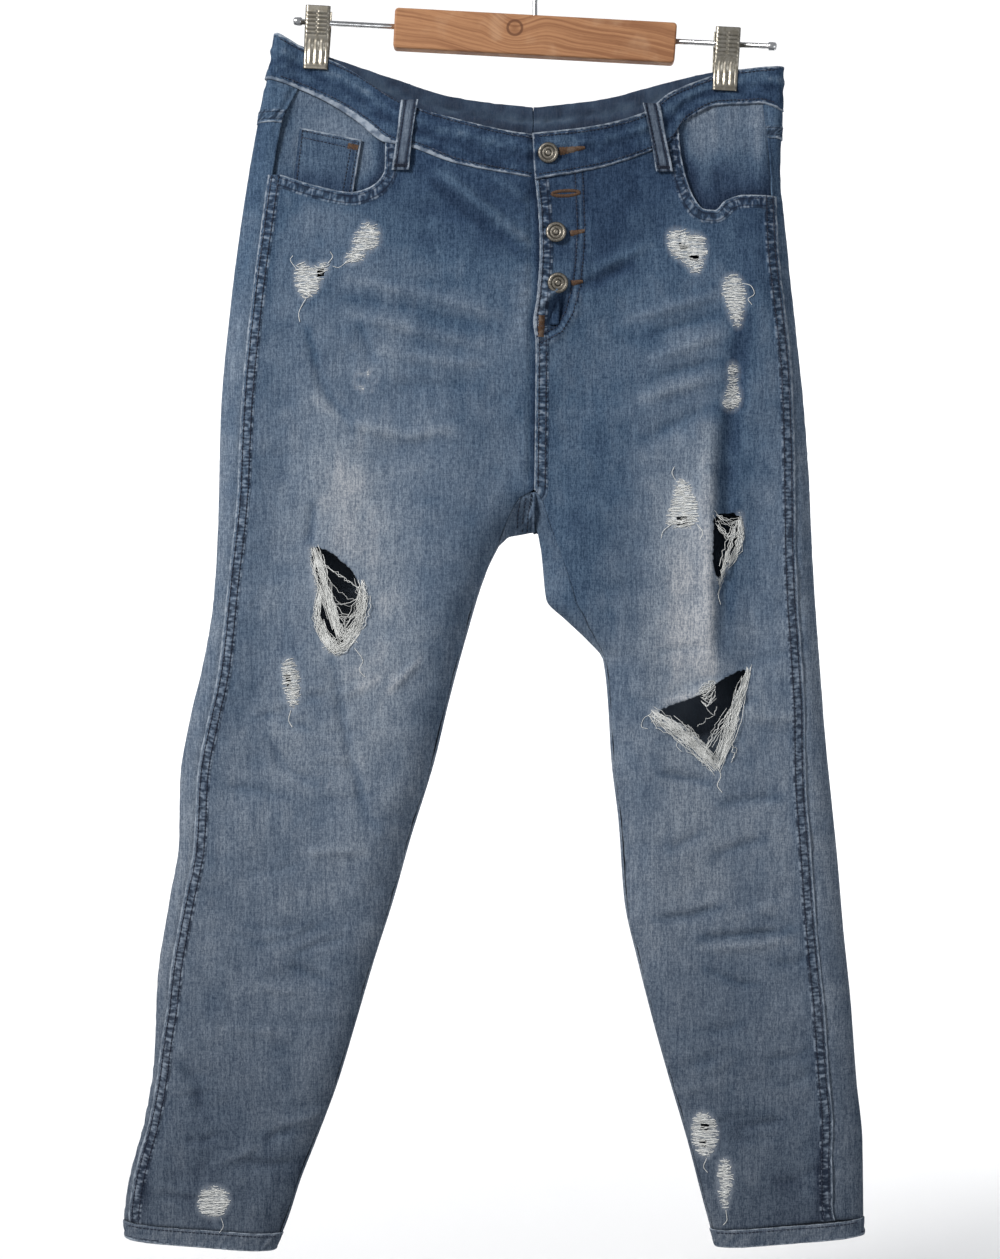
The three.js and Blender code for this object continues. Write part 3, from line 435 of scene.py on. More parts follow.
def beside(path, x, drop):
    """Distance of each point from a path of (x, drop), and how far along the path its foot is."""
    away = np.full(np.shape(x), 1e6)
    along = np.zeros(np.shape(x))
    start = 0.0
    for (ax, ad), (bx, bd) in zip(path[:-1], path[1:]):
        run_x, run_d = bx - ax, bd - ad
        long = math.hypot(run_x, run_d)
        if long == 0:
            continue
        t = np.clip(((x - ax) * run_x + (drop - ad) * run_d) / long**2, 0, 1)
        off = np.hypot(x - ax - t * run_x, drop - ad - t * run_d)
        nearer = off < away
        away = np.where(nearer, off, away)
        along = np.where(nearer, start + t * long, along)
        start += long
    return away, along


def within(outline, x, drop):
    """Distance of each point inside a closed outline, negative outside it."""
    inside = np.zeros(np.shape(x), bool)
    closed = list(outline) + [outline[0]]
    for (ax, ad), (bx, bd) in zip(closed[:-1], closed[1:]):
        if ad == bd:
            continue
        spans = (ad > drop) != (bd > drop)
        inside ^= spans & (x < (bx - ax) * (drop - ad) / (bd - ad) + ax)
    away, _ = beside(closed, x, drop)
    return np.where(inside, away, -away)


def softened(outline, steps=2):
    """The closed outline with its corners cut round."""
    points = np.array(outline, float)
    for _ in range(steps):
        after = np.roll(points, -1, axis=0)
        points = np.stack([mix(points, after, 0.25), mix(points, after, 0.75)], axis=1).reshape(-1, 2)
    return [tuple(p) for p in points]


def inner_x(half, face, drop):
    """Inner limit of one half: the centre down to the crotch, then the inside of the leg."""
    if face is BACK:
        return curve([(FORK_DROP, CENTRE_X)] + half["inner"], drop)
    return np.where(
        np.asarray(drop) < JOIN_DROP,
        curve(CENTRE_FRONT, drop),
        curve(half["window"] + half["inner"], drop),
    )


def side_x(half, drop):
    return curve(half["side"], drop)


def outseam_x(half, drop):
    return side_x(half, drop) - half["out"] * curve(half["outseam"], drop)


def rounding(distance, radius, closing):
    """1 well inside an edge, falling round to the edge by as much as closing."""
    short = closing * np.maximum(0, 1 - np.abs(distance) / radius)
    return np.sqrt(np.maximum(0, 1 - short * short))


def folds(face, x, drop):
    """Height of the broad folds."""
    height = np.zeros(np.shape(x))
    for on, start, end, reach, high in FOLDS:
        if on is face:
            away, _ = beside([start, end], x, drop)
            height += high * hump(away, 0, reach)
    return height


def depth(half, face, x, drop):
    """Depth of the hanging cloth, measured out from the plane y = 0."""
    clip_drop = curve(half["front_top"], abs(half["clip_x"]))
    opened = smooth((drop - clip_drop - CLIP_BITE) / SETTLE)
    past = (x - half["clip_x"]) * half["out"]
    reach = np.where(past < 0, WAIST_REACH, CORNER_REACH)
    limit = np.where(past < 0, face["waist_half"], CORNER_HALF)
    clear = np.maximum(0, np.abs(past) - CLIP_FLAT) / reach
    pinched = mix(limit, CLIP_HALF, hump(clear, 0, 1))
    hanging = curve(face["depth"], drop) + folds(face, x, drop)
    radius = mix(CORNER_RADIUS, FOLD_RADIUS, opened)
    at_side = rounding(side_x(half, drop) - x, radius, 1)
    at_inside = rounding(x - inner_x(half, face, drop), FOLD_RADIUS, curve(face["closing"], drop))
    return mix(pinched, hanging, opened) * at_side * at_inside


def laid(half, face, x, drop):
    """Points of the hanging cloth at (x, drop)."""
    x, drop = np.broadcast_arrays(np.asarray(x, float), np.asarray(drop, float))
    return np.stack([x, face["sign"] * depth(half, face, x, drop), -drop], axis=-1)


def fine_creases(count, seed):
    """Short slanting creases scattered over the legs: face, path, half width and height."""
    random = np.random.default_rng(seed)
    found = []
    for k in range(count):
        drop = random.uniform(600, 1060)
        lean = (drop - 600) / 460
        middle = mix(-165, -255, lean) if k % 2 else mix(150, 195, lean)
        x = middle + random.uniform(-52, 52)
        long, rise = random.uniform(14, 30), random.uniform(-9, 5)
        path = [(x - long, drop - rise), (x, drop + random.uniform(-2, 4)), (x + long, drop + rise)]
        half_width, way = random.uniform(2.8, 4.4), random.choice((-1, -1, 1))
        found.append((FRONT, path, half_width, way * random.uniform(0.35, 0.85)))
    return found


CREASES += fine_creases(46, 77)


def creased(face, x, drop):
    """Height of the creases over the broad form."""
    height = 0.7 * rumple(x, drop, 26, 3) + 0.28 * rumple(x, drop, 9, 4) + 0.5 * rumple(x * 0.4, drop, 12, 5)
    for on, path, half_width, high in CREASES:
        if on is face:
            away, along = beside(path, x, drop)
            long = sum(math.dist(a, b) for a, b in zip(path[:-1], path[1:]))
            fade = smooth(along / (0.3 * long) + 0.15) * smooth((long - along) / (0.3 * long) + 0.15)
            height = height + CREASE_DEPTH * high * fade * hump(away, 0, half_width)
    return height


STEP = 1e-3  # between the points whose difference gives a normal, in parts of a surface


def raised(place, lift, flip):
    """The surface place(a, b) moved out along its normals by lift(points)."""

    def moved(a, b):
        a, b = np.broadcast_arrays(np.asarray(a, float), np.asarray(b, float))
        point = place(a, b)
        across = place(a + STEP, b) - place(a - STEP, b)
        down = place(a, b + STEP) - place(a, b - STEP)
        normal = np.cross(across, down)
        normal /= np.maximum(np.linalg.norm(normal, axis=-1, keepdims=True), 1e-9)
        return point + (-normal if flip else normal) * np.asarray(lift(point))[..., None]

    return moved


# ---------------------------------------------------------------- seams, relief, wear and painted shade


def outseam_path(half):
    top = 118 if half is RIGHT else 140
    drops = np.linspace(top, 1106, 60)
    return list(zip(outseam_x(half, drops), drops))


def centre_path():
    drops = np.linspace(172, JOIN_DROP, 30)
    return list(zip(curve(CENTRE_FRONT, drops), drops))


def mouth_path(half):
    """The pocket mouth, drawn as a smooth line through its points."""
    points = np.array(half["mouth"], float)
    along = np.concatenate([[0], np.cumsum(np.hypot(*np.diff(points, axis=0).T))])
    fine = np.linspace(0, along[-1], 40)
    ways = [(along[k], *points[k]) for k in range(len(points))]
    x = curve([(a, px) for a, px, _ in ways], fine)
    drop = curve([(a, pd) for a, _, pd in ways], fine)
    return list(zip(x, drop))


SEAM_BAND = 11  # width of a raised double-stitched seam


def front_edges(half):
    """Worn, stitched edges of a front as paths of (x, drop)."""
    edges = [outseam_path(half), mouth_path(half)]
    return edges + [centre_path()] if half is LEFT else edges


def nearest(edges, x, drop):
    """Distance from the nearest of the edges, and the place along it, different for each edge."""
    away, along = beside(edges[0], x, drop)
    for k, path in enumerate(edges[1:], 1):
        off, run = beside(path, x, drop)
        along = np.where(off < away, run + 500 * k, along)
        away = np.minimum(away, off)
    return away, along


def puckered(away, along, band=SEAM_BAND):
    """Height of a raised seam: a felled band, drawn in along its stitches."""
    inside = smooth((band + 1 - away) / 2)
    bars = rumple(along, away * 0.3, 3.4, 11)
    beyond = hump(np.maximum(0, away - band), 0, 9) * (1 - inside)
    return inside * (0.55 + 0.42 * bars) + beyond * 0.5 * rumple(along, away * 0.25, 6, 12)


def front_lift(half):
    """Relief of a front over its broad form."""
    edges = front_edges(half)

    def lift(point):
        x, drop = drawn(point)
        away, along = nearest(edges, x, drop)
        height = creased(FRONT, x, drop) + puckered(away, along)
        if half is LEFT:
            height = height + 0.9 * smooth(1 - away / 40) * (x < 42) * smooth((400 - drop) / 60)
            across_fly = smooth((x - 1) / 3) * smooth((16 - x) / 6)
            fly = across_fly * smooth((drop - 214) / 10) * smooth((345 - drop) / 10)
            height = height + 0.75 * fly * np.sin(drop / 9.5 * 2 * math.pi + 1.3 * rumple(x, drop, 12, 21))
            off, run = beside(J_STITCH, x, drop)
            height = height - 0.5 * hump(off, 0, 2) + 0.25 * hump(off, 0, 7) * np.sin(run / 1.5)
        else:
            tucked = smooth((x + 9) / 6) * smooth((JOIN_DROP - 4 - drop) / 14)
            height = height - 1.9 * tucked
            waves = np.sin(drop / 8.7 * 2 * math.pi + 1.2 * rumple(x, drop, 14, 23))
            beside_fly = smooth((x + 20) / 8) * smooth((-6 - x) / 5)
            height = height + 0.6 * beside_fly * waves * smooth((drop - 220) / 20) * smooth((360 - drop) / 30)
        near_hem = smooth(1 - np.abs(drop - half["hem_inner"]) / 16)
        return height + 0.5 * near_hem * rumple(x, drop * 0.3, 5, 31)

    return lift


J_STITCH = [(39, 208), (41, 253), (39.5, 280), (37, 302), (31, 325), (22, 340), (10, 347), (2, 351)]


def back_lift(half):
    """Relief of a back over its broad form."""
    seam = outseam_path(half)

    def lift(point):
        (x, drop), y = drawn(point), point[..., 1]
        away, along = beside(seam, x, drop)
        strip = y < 0
        under = strip * smooth(1 - away / 5) * (np.abs(x - CENTRE_X) > 60)
        seat = creased(BACK, x, drop) * (y > 0)
        bulge = 0.5 * strip * hump(away, 0, 14) * rumple(along, away * 0.3, 5, 14)
        centre = hump(x, CENTRE_X, 6) * (y > 0) * smooth((500 - drop) / 20)
        return seat + bulge - 1.5 * under + centre * (0.5 + 0.3 * rumple(drop, x * 0.3, 4, 15))

    return lift


def to_linear(colour):
    colour = np.asarray(colour, float)
    return np.where(colour <= 0.04045, colour / 12.92, ((colour + 0.055) / 1.055) ** 2.4)


def washes():
    """The ramp from unwashed to washed-out denim, linear."""
    colours = bpy.context.scene.jeans_colours
    names = ("deep", "dark", "mid", "worn", "faded", "pale")
    return np.array([list(getattr(colours, "wash_" + name)) for name in names])


def dyed(washed, grey):
    """Linear colour of cloth washed by 0 to 1 and greyed by 0 to 1."""
    ramp = washes()
    place = np.clip(washed, 0, 1) * (len(ramp) - 1)
    i = np.clip(place.astype(int), 0, len(ramp) - 2)
    colour = mix(ramp[i], ramp[i + 1], (place - i)[..., None])
    dull = colour.mean(axis=-1, keepdims=True) * np.array([0.97, 1.0, 1.06])
    return mix(colour, dull, np.asarray(grey)[..., None])


def washed_at(face, x, drop):
    """How far the cloth is washed out at each point."""
    washed = curve(WASHED, drop)
    for at_x, at_drop, reach, down, amount in FADES_AND_SHADE:
        if face is FRONT or reach > 28:
            washed = washed + amount * hump(x, at_x, reach) * hump(drop, at_drop, down)
    washed = washed + 0.05 * rumple(x, drop * 0.6, 30, 41) + 0.05 * rumple(x, drop * 0.4, 9, 42)
    washed = washed + 0.05 * rumple(x * 0.4, drop, 12, 5) + 0.045 * rumple(x, drop * 0.6, 4, 45)
    # Crease tone: lighter on the ridges as worn whiskers, darker in the troughs as painted shade.
    relief = np.zeros(np.shape(x))
    for on, path, half_width, high in CREASES:
        if on is face:
            away, _ = beside(path, x, drop)
            relief += high * hump(away, 0, half_width)
    return washed + (0.11 if face is FRONT else 0.05) * np.clip(relief, -1.6, 1.6)


def grey_at(drop):
    return curve([(200, 0.0), (520, 0.05), (800, 0.22), (950, 0.36), (1105, 0.5)], drop)


FAR = 99.0  # in from an edge, for a place with no worn edge
UNWORN = -9.0  # in from the rim of a bared place, for a place with none


def marked(x, washed, grey=0.0, edge=FAR, run=0.0, bare=UNWORN):
    """What the material reads: dye, distances from a worn edge and along it, and how far in a bared place."""
    full = np.ones(x.shape)
    return {"dye": dyed(washed, grey * full), "edge": edge * full, "run": run * full, "bare": bare * full}


def panel_marks(half, face, edges):
    """Marks of a leg panel."""

    def marks(point):
        x, drop = drawn(point)
        washed = washed_at(face, x, drop)
        away, along = nearest(edges, x, drop) if edges else (FAR, drop)
        if face is BACK:
            washed = washed + 0.06 * (point[..., 1] < 0)
        bare = np.full(x.shape, UNWORN)
        if face is FRONT:
            washed = washed - 0.05 * smooth(1 - (away - SEAM_BAND) / 10)
            for outline in BARED:
                bare = np.maximum(bare, within(softened(outline, 1), x, drop))
            on_edge = x - curve(CENTRE_FRONT, drop)
            if half is LEFT:
                washed = washed + 0.42 * hump(on_edge, 1.6, 1.5) * smooth((360 - drop) / 20)
                for path in (J_STITCH, [tuple(p) for p in beyond(J_STITCH, J_ROW)]):
                    off, _ = beside(path, x, drop)
                    washed = washed - 0.34 * hump(off, 0, 1.2) + 0.10 * hump(off, 2.6, 1.0)
            else:
                # Painted shadow of the left front's placket edge on the right front beside the fly.
                washed = washed - 0.34 * hump(np.minimum(on_edge, 0), 0, 4)
            for rim, wide in FRAYED_RIMS:
                bare = np.maximum(bare, wide - beside(rim, x, drop)[0])
            for flecks in ((-140, 381, 9), (-171, 709, 8)):
                near = flecks[2] - np.hypot(x - flecks[0], drop - flecks[1])
                bare = np.maximum(bare, np.minimum(near, 8 * rumple(x, drop * 0.7, 2.6, 51) - 4.5))
        return marked(x, washed, grey_at(drop), away, along, np.clip(bare, UNWORN, -UNWORN))

    return marks


def plain_marks(washed, edge=None):
    """Marks for a small piece of one shade. edge(point) gives how far in from its worn edge a point is."""

    def marks(point):
        x, drop = drawn(point)
        shade = washed + 0.05 * rumple(x, drop, 14, 43) + 0.04 * rumple(x, drop, 5, 44)
        return marked(x, shade, edge=FAR if edge is None else edge(point), run=x + drop)

    return marks


# ---------------------------------------------------------------- meshes


def piece_name(name, slot):
    """A finished piece that stands for a CAD node is told from it by its first word."""
    if name not in CAD_NODES:
        return name
    return ("denim_" if slot.startswith("denim") else "fine_") + name


def finished(mesh, name, materials, slot, replaces=()):
    """A finished piece from a mesh, told to the frame."""
    piece = bpy.data.objects.new(piece_name(name, slot), mesh)
    bpy.context.scene.collection.objects.link(piece)
    for material in materials:
        mesh.materials.append(material)
    mesh.polygons.foreach_set("use_smooth", np.ones(len(mesh.polygons), bool))
    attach(piece, "root")
    if replaces:
        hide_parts(*replaces)
    return piece


# For drawing the rim of a hole onto its outline: a step in parts of the surface for measuring the slope, the
# least slope squared, the furthest move in mm, and how near the edge of the surface the rim still counts.
NUDGE = 2e-4
LEAST_STEEP = 0.2
FURTHEST = 2.5
WITHIN = 0.5 - 1e-4


def meshed(form, name):
    """A mesh from a bmesh, which is freed."""
    mesh = bpy.data.meshes.new(name)
    form.to_mesh(mesh)
    form.free()
    return mesh


def cloth(name, across, down, place, flip, wall, marks, gone=None, size=(200, 900), ring=False, slot="denim"):
    """A thin shell over the surface place(s, t), cut away where gone(x, drop) is above 0."""
    shell = bmesh.new()
    bmesh.ops.create_grid(shell, x_segments=across, y_segments=down, size=0.5)
    bmesh.ops.translate(shell, verts=shell.verts, vec=(0.5, 0.5, 0))

    def numbers():
        return np.array([v.co[:2] for v in shell.verts], float).T

    def cut(s, t):
        point = place(s, t)
        return gone(point[..., 0], -point[..., 2])

    if gone is not None:
        for finer in (1, 2):
            off = np.abs(cut(*numbers()))
            shell.verts.index_update()
            reach = 1.5 * max(size[0] / across, size[1] / down) / finer
            close = [e for e in shell.edges if min(off[e.verts[0].index], off[e.verts[1].index]) < reach]
            bmesh.ops.subdivide_edges(shell, edges=close, cuts=1, use_grid_fill=True)
        shell.faces.ensure_lookup_table()
        middles = np.array([f.calc_center_median()[:2] for f in shell.faces], float).T
        lost = cut(*middles) > 0
        bmesh.ops.delete(shell, geom=[f for f, out in zip(shell.faces, lost) if out], context="FACES")
        s, t = numbers()
        shell.verts.index_update()
        rim = {v.index for e in shell.edges if e.is_boundary for v in e.verts}
        rim = np.array(sorted(rim))
        rim = rim[(np.abs(s[rim] - 0.5) < WITHIN) & (np.abs(t[rim] - 0.5) < WITHIN)]
        a, b = s[rim], t[rim]
        for _ in range(3):
            here = cut(a, b)
            slope_a = (cut(a + NUDGE, b) - here) / (NUDGE * size[0])
            slope_b = (cut(a, b + NUDGE) - here) / (NUDGE * size[1])
            steep = np.maximum(slope_a**2 + slope_b**2, LEAST_STEEP)
            here = np.clip(here, -FURTHEST, FURTHEST)
            a, b = a - here * slope_a / steep / size[0], b - here * slope_b / steep / size[1]
        s[rim], t[rim] = np.clip(a, 0, 1), np.clip(b, 0, 1)
    else:
        s, t = numbers()
    point = place(s, t)
    if flip:
        bmesh.ops.reverse_faces(shell, faces=shell.faces)
    for vert, co in zip(shell.verts, point * MM):
        vert.co = co
    if ring:
        lay = shell.verts.layers.float_vector.new("kept")
        for vert, co in zip(shell.verts, point):
            vert[lay] = co
        bmesh.ops.remove_doubles(shell, verts=shell.verts, dist=1e-6)
        point = np.array([v[lay] for v in shell.verts])
        shell.verts.layers.float_vector.remove(lay)
    mesh = meshed(shell, name)
    corners = np.zeros(len(mesh.loops), np.int32)
    mesh.loops.foreach_get("vertex_index", corners)
    weave = mesh.uv_layers.new(name="weave")
    weave.data.foreach_set("uv", (point[corners][:, [0, 2]] * MM).astype(np.float32).ravel())
    for key, values in marks(point).items():
        if key == "dye":
            layer = mesh.color_attributes.new(key, "FLOAT_COLOR", "POINT")
            rgba = np.concatenate([values, np.ones((len(point), 1))], axis=1)
            layer.data.foreach_set("color", rgba.astype(np.float32).ravel())
        else:
            layer = mesh.attributes.new(key, "FLOAT", "POINT")
            layer.data.foreach_set("value", np.asarray(values, np.float32).ravel())
    piece = finished(mesh, name, [denim(), denim_inside()], slot, [name] if name in CAD_NODES else [])
    solid = piece.modifiers.new("wall", "SOLIDIFY")
    solid.thickness = wall * MM
    solid.offset = -1
    solid.material_offset = 1
    solid.material_offset_rim = 0
    return piece


def round_edges(piece, width):
    """Eases the sharp edges of a thick folded piece."""
    rounded = piece.modifiers.new("rounded edges", "BEVEL")
    rounded.width = width * MM
    rounded.segments = 2
    rounded.limit_method = "ANGLE"
    rounded.angle_limit = SHARP


def threads(name, lines, radius, material, slot, sides=1):
    """Fine round threads along lines of points, as one piece. radius is one number or one for each line."""
    data = bpy.data.curves.new(name, "CURVE")
    data.dimensions = "3D"
    data.bevel_depth = MM
    data.bevel_resolution = sides
    data.use_fill_caps = True
    data.resolution_u = 1
    for k, line in enumerate(lines):
        spline = data.splines.new("POLY")
        spline.points.add(len(line) - 1)
        flat = np.concatenate([np.asarray(line) * MM, np.ones((len(line), 1))], axis=1)
        spline.points.foreach_set("co", flat.astype(np.float32).ravel())
        thick = radius if np.isscalar(radius) else radius[k]
        spline.points.foreach_set("radius", np.full(len(line), thick, np.float32))
    loose = bpy.data.objects.new(name, data)
    mesh = bpy.data.meshes.new_from_object(loose)
    bpy.data.objects.remove(loose)
    bpy.data.curves.remove(data)
    mesh.name = name
    return finished(mesh, name, [material], slot)


def spaced(path, step):
    """Points evenly spaced along a path, and how far along each is."""
    path = np.array(path, float)
    along = np.concatenate([[0], np.cumsum(np.linalg.norm(np.diff(path, axis=0), axis=1))])
    at = np.arange(0, along[-1], step)
    return np.stack([np.interp(at, along, path[:, k]) for k in range(path.shape[1])], axis=1), at


def beyond(path, offset):
    """The path moved sideways in (x, drop) by an offset, to the left of its run."""
    path = np.array(path, float)
    run = np.gradient(path, axis=0)
    run /= np.maximum(np.linalg.norm(run, axis=1, keepdims=True), 1e-9)
    return path + offset * np.stack([run[:, 1], -run[:, 0]], axis=1)


RAY_FROM = 0.3  # metres in front of the cloth


def skin_over(face, names, half=None):
    """skin(x, drop, out): points standing out of the named pieces, seen from their face.

    Past the pieces or over a hole it follows the broad form of a half, or gives no numbers without one.
    """
    corners, faces = [], []
    for name in names:
        mesh = bpy.data.objects[name].data
        start = len(corners)
        corners += [v.co for v in mesh.vertices]
        faces += [[start + i for i in p.vertices] for p in mesh.polygons]
    tree = BVHTree.FromPolygons(corners, faces)
    sign = face["sign"]

    def skin(x, drop, out):
        x, drop, out = np.broadcast_arrays(x, drop, out)
        points = np.full(x.shape + (3,), np.nan)
        for k in range(len(x)):
            start = Vector((x[k] * MM, sign * RAY_FROM, -drop[k] * MM))
            place, normal, _, _ = tree.ray_cast(start, Vector((0, -sign, 0)), 2 * RAY_FROM)
            if place is not None:
                outward = normal if normal.y * sign > 0 else -normal
                points[k] = np.array(place) / MM + np.array(outward) * out[k]
            elif half is not None:
                points[k] = laid(half, face, x[k], drop[k])
                points[k, 1] += sign * (out[k] + 0.4)
        return points

    return skin


FINE = 0.2  # between the points along a line of stitches
TOO_STEEP = 2.5  # a stitch that would climb more than this is left out


def stitched(path, skin, pitch=3.1, long=2.5, high=0.45):
    """Stitches along a path of (x, drop) on a skin, as short lines of points."""
    points, _ = spaced(path, FINE)
    each, span = max(1, round(pitch / FINE)), round(long / FINE)
    first = np.arange(0, len(points) - span - 1, each)
    if len(first) == 0:
        return []
    marks = np.stack([first, first + span // 3, first + 2 * span // 3, first + span], axis=1)
    at = points[marks.ravel()]
    lift = np.tile([-0.3, high, high, -0.3], len(first))
    placed = skin(at[:, 0], at[:, 1], lift).reshape(len(first), 4, 3)
    steps = np.abs(np.diff(placed[:, :, 1], axis=1)).max(axis=1)
    return [line for line, step in zip(placed, steps) if step < TOO_STEEP]


# ---------------------------------------------------------------- finishes


class Finish:
    """A procedural material under construction."""

    def __init__(self, name):
        self.material = bpy.data.materials.new(name)
        self.material.use_nodes = True
        self.tree = self.material.node_tree
        self.tree.nodes.clear()
        self.shader = self.add("ShaderNodeBsdfPrincipled")
        out = self.add("ShaderNodeOutputMaterial")
        self.tree.links.new(self.shader.outputs[0], out.inputs["Surface"])

    def add(self, kind, inputs=(), **settings):
        node = self.tree.nodes.new(kind)
        for key, value in settings.items():
            setattr(node, key, value)
        for key, value in dict(inputs).items():
            self.feed(node.inputs[key], value)
        return node

    def feed(self, socket, value):
        if isinstance(value, bpy.types.NodeSocket):
            self.tree.links.new(value, socket)
        elif value is not None:
            socket.default_value = (*value, 1) if socket.type == "RGBA" else value

    def shade(self, **values):
        for key, value in values.items():
            self.feed(self.shader.inputs[key.replace("_", " ")], value)

    def mark(self, name):
        return self.add("ShaderNodeAttribute", attribute_name=name).outputs

    def math(self, operation, a, b=None, c=None):
        node = self.add("ShaderNodeMath", operation=operation)
        for socket, value in zip(node.inputs, (a, b, c)):
            self.feed(socket, value)
        return node.outputs[0]

    def span(self, value, low, high, to_low=0.0, to_high=1.0):
        """Smooth step of a value from low to high."""
        keys = {"Value": value, "From Min": low, "From Max": high, "To Min": to_low, "To Max": to_high}
        return self.add("ShaderNodeMapRange", keys, interpolation_type="SMOOTHSTEP").outputs["Result"]

    def stretched(self, vector, x, y, z):
        keys = {0: vector, 1: (x, y, z)}
        return self.add("ShaderNodeVectorMath", keys, operation="MULTIPLY").outputs[0]

    def noise(self, vector, scale=1.0, detail=2.0, roughness=0.5):
        keys = {"Vector": vector, "Scale": scale, "Detail": detail, "Roughness": roughness}
        return self.add("ShaderNodeTexNoise", keys).outputs[0]

    def blend(self, factor, a, b, kind="MIX"):
        node = self.add("ShaderNodeMix", data_type="RGBA", blend_type=kind, clamp_factor=True)
        for key, value in ((0, factor), (6, a), (7, b)):
            self.feed(node.inputs[key], value)
        return node.outputs[2]

    def over(self, colour, paint, mask, amount):
        """The colour with paint over it where the mask is 1, as thick as the amount."""
        return self.blend(self.math("MULTIPLY", mask, amount), colour, paint)

    def bump(self, height, distance, strength):
        keys = {"Height": height, "Distance": distance, "Strength": strength}
        self.feed(self.shader.inputs["Normal"], self.add("ShaderNodeBump", keys).outputs[0])

    def objects(self):
        return self.add("ShaderNodeTexCoord").outputs["Object"]


def kept(name):
    """Makes a material once, and gives the same one afterwards."""

    def wrap(build):
        def give():
            return bpy.data.materials.get(name) or build(name)

        give.__doc__ = build.__doc__
        return give

    return wrap


def woven(f):
    """The threads of the twill: an uneven lightness and a height."""
    weave = f.add("ShaderNodeUVMap", uv_map="weave").outputs[0]
    warp = f.noise(f.stretched(weave, 1150, 240, 1), 1.0, 2.0, 0.6)
    weft = f.noise(f.stretched(weave, 110, 1100, 1), 1.0, 1.0)
    speckle = f.noise(f.stretched(weave, 820, 700, 1), 1.0, 2.0, 0.6)
    mottle = f.noise(f.stretched(weave, 480, 300, 1), 1.0, 3.0, 0.6)
    streak = f.noise(f.stretched(weave, 520, 34, 1), 1.0, 2.0, 0.6)
    parts = [(warp, 0.30), (weft, 0.10), (speckle, 0.22), (mottle, 0.16), (streak, 0.22)]
    light = 0.0
    for part, share in parts:
        light = f.math("MULTIPLY_ADD", part, share, light)
    split = f.add("ShaderNodeSeparateXYZ", {0: weave})
    slant = f.math("MULTIPLY_ADD", split.outputs[1], 0.62, split.outputs[0])
    rib = f.math("SINE", f.math("MULTIPLY", slant, 2 * math.pi / 0.00085))
    return weave, light, rib


@kept("worn twill")
def denim(name):
    """Worn twill: reads how it is dyed, where its stitched edges are and where its weft is bared."""
    f = Finish(name)
    colours = bpy.context.scene.jeans_colours
    weave, light, rib = woven(f)
    dye = f.mark("dye")["Color"]
    edge, run, bare = (f.mark(k)["Fac"] for k in ("edge", "run", "bare"))
    tone = f.span(light, 0.40, 0.61)
    low = f.blend(1.0, dye, (0.50, 0.54, 0.60), "MULTIPLY")
    high = f.blend(0.025, f.blend(1.0, dye, (1.50, 1.44, 1.36), "MULTIPLY"), (0.55, 0.58, 0.62))
    colour = f.blend(tone, low, high)
    colour = f.over(colour, (0.01, 0.02, 0.04), f.span(rib, -1, 1), 0.16)

    ragged = f.noise(f.stretched(weave, 330, 330, 1), 1.0, 2.0)
    seam = f.add("ShaderNodeCombineXYZ", {0: f.math("DIVIDE", run, 3.1), 1: f.math("DIVIDE", edge, 7.0)})
    bars = f.noise(seam.outputs[0], 1.0, 1.0)
    inside = f.math("MULTIPLY", f.span(edge, 11.8, 10.6), f.span(edge, 1.6, 2.6))
    dark_bars = f.math("MULTIPLY", f.span(bars, 0.56, 0.38), inside)
    pale_bars = f.math("MULTIPLY", f.span(bars, 0.5, 0.7), inside)
    colour = f.over(colour, (0.012, 0.018, 0.032), dark_bars, 0.74)
    colour = f.over(colour, (0.30, 0.35, 0.42), pale_bars, 0.50)
    for place, wide, deep in ((3.1, 0.8, 0.6), (9.0, 0.9, 0.62)):
        off = f.math("ABSOLUTE", f.math("SUBTRACT", edge, place))
        groove = f.span(off, wide, wide * 0.3)
        colour = f.over(colour, (0.010, 0.014, 0.028), groove, deep)
    worn_to = f.math("MULTIPLY_ADD", ragged, 3.4, -0.5)
    rim = f.span(f.math("SUBTRACT", edge, worn_to), 0.5, -0.6)
    rubbed = f.span(f.noise(f.stretched(weave, 120, 120, 1), 1.0, 3.0), 0.38, 0.62, 0.26, 0.88)
    colour = f.over(colour, colours.worn_edge, rim, rubbed)

    halo = f.span(bare, -5.0, 0.0)
    colour = f.over(colour, (0.42, 0.46, 0.52), halo, 0.22)
    tear = f.noise(f.stretched(weave, 480, 900, 1), 1.0, 3.0, 0.7)
    torn = f.span(f.math("MULTIPLY_ADD", f.math("SUBTRACT", tear, 0.54), 18.0, bare), -0.1, 1.0)
    floats = f.noise(f.stretched(weave, 240, 1300, 1), 1.0, 2.0, 0.6)
    between = f.blend(0.22, dye, colours.cotton)
    cotton = f.blend(f.span(floats, 0.44, 0.60), between, [c * 0.92 for c in colours.cotton])
    colour = f.blend(torn, colour, cotton)

    f.shade(Base_Color=colour, Roughness=0.95, Specular_IOR_Level=0.06)
    f.shade(Sheen_Weight=0.02, Sheen_Roughness=0.5)
    height = f.math("MULTIPLY_ADD", rib, 0.12, f.math("MULTIPLY", light, 1.1))
    height = f.math("MULTIPLY_ADD", f.math("MULTIPLY", bars, inside), 1.3, height)
    height = f.math("MULTIPLY_ADD", rim, 0.8, height)
    height = f.math("MULTIPLY_ADD", f.math("MULTIPLY", floats, torn), 1.2, height)
    f.bump(height, 0.0007, 0.75)
    return f.material


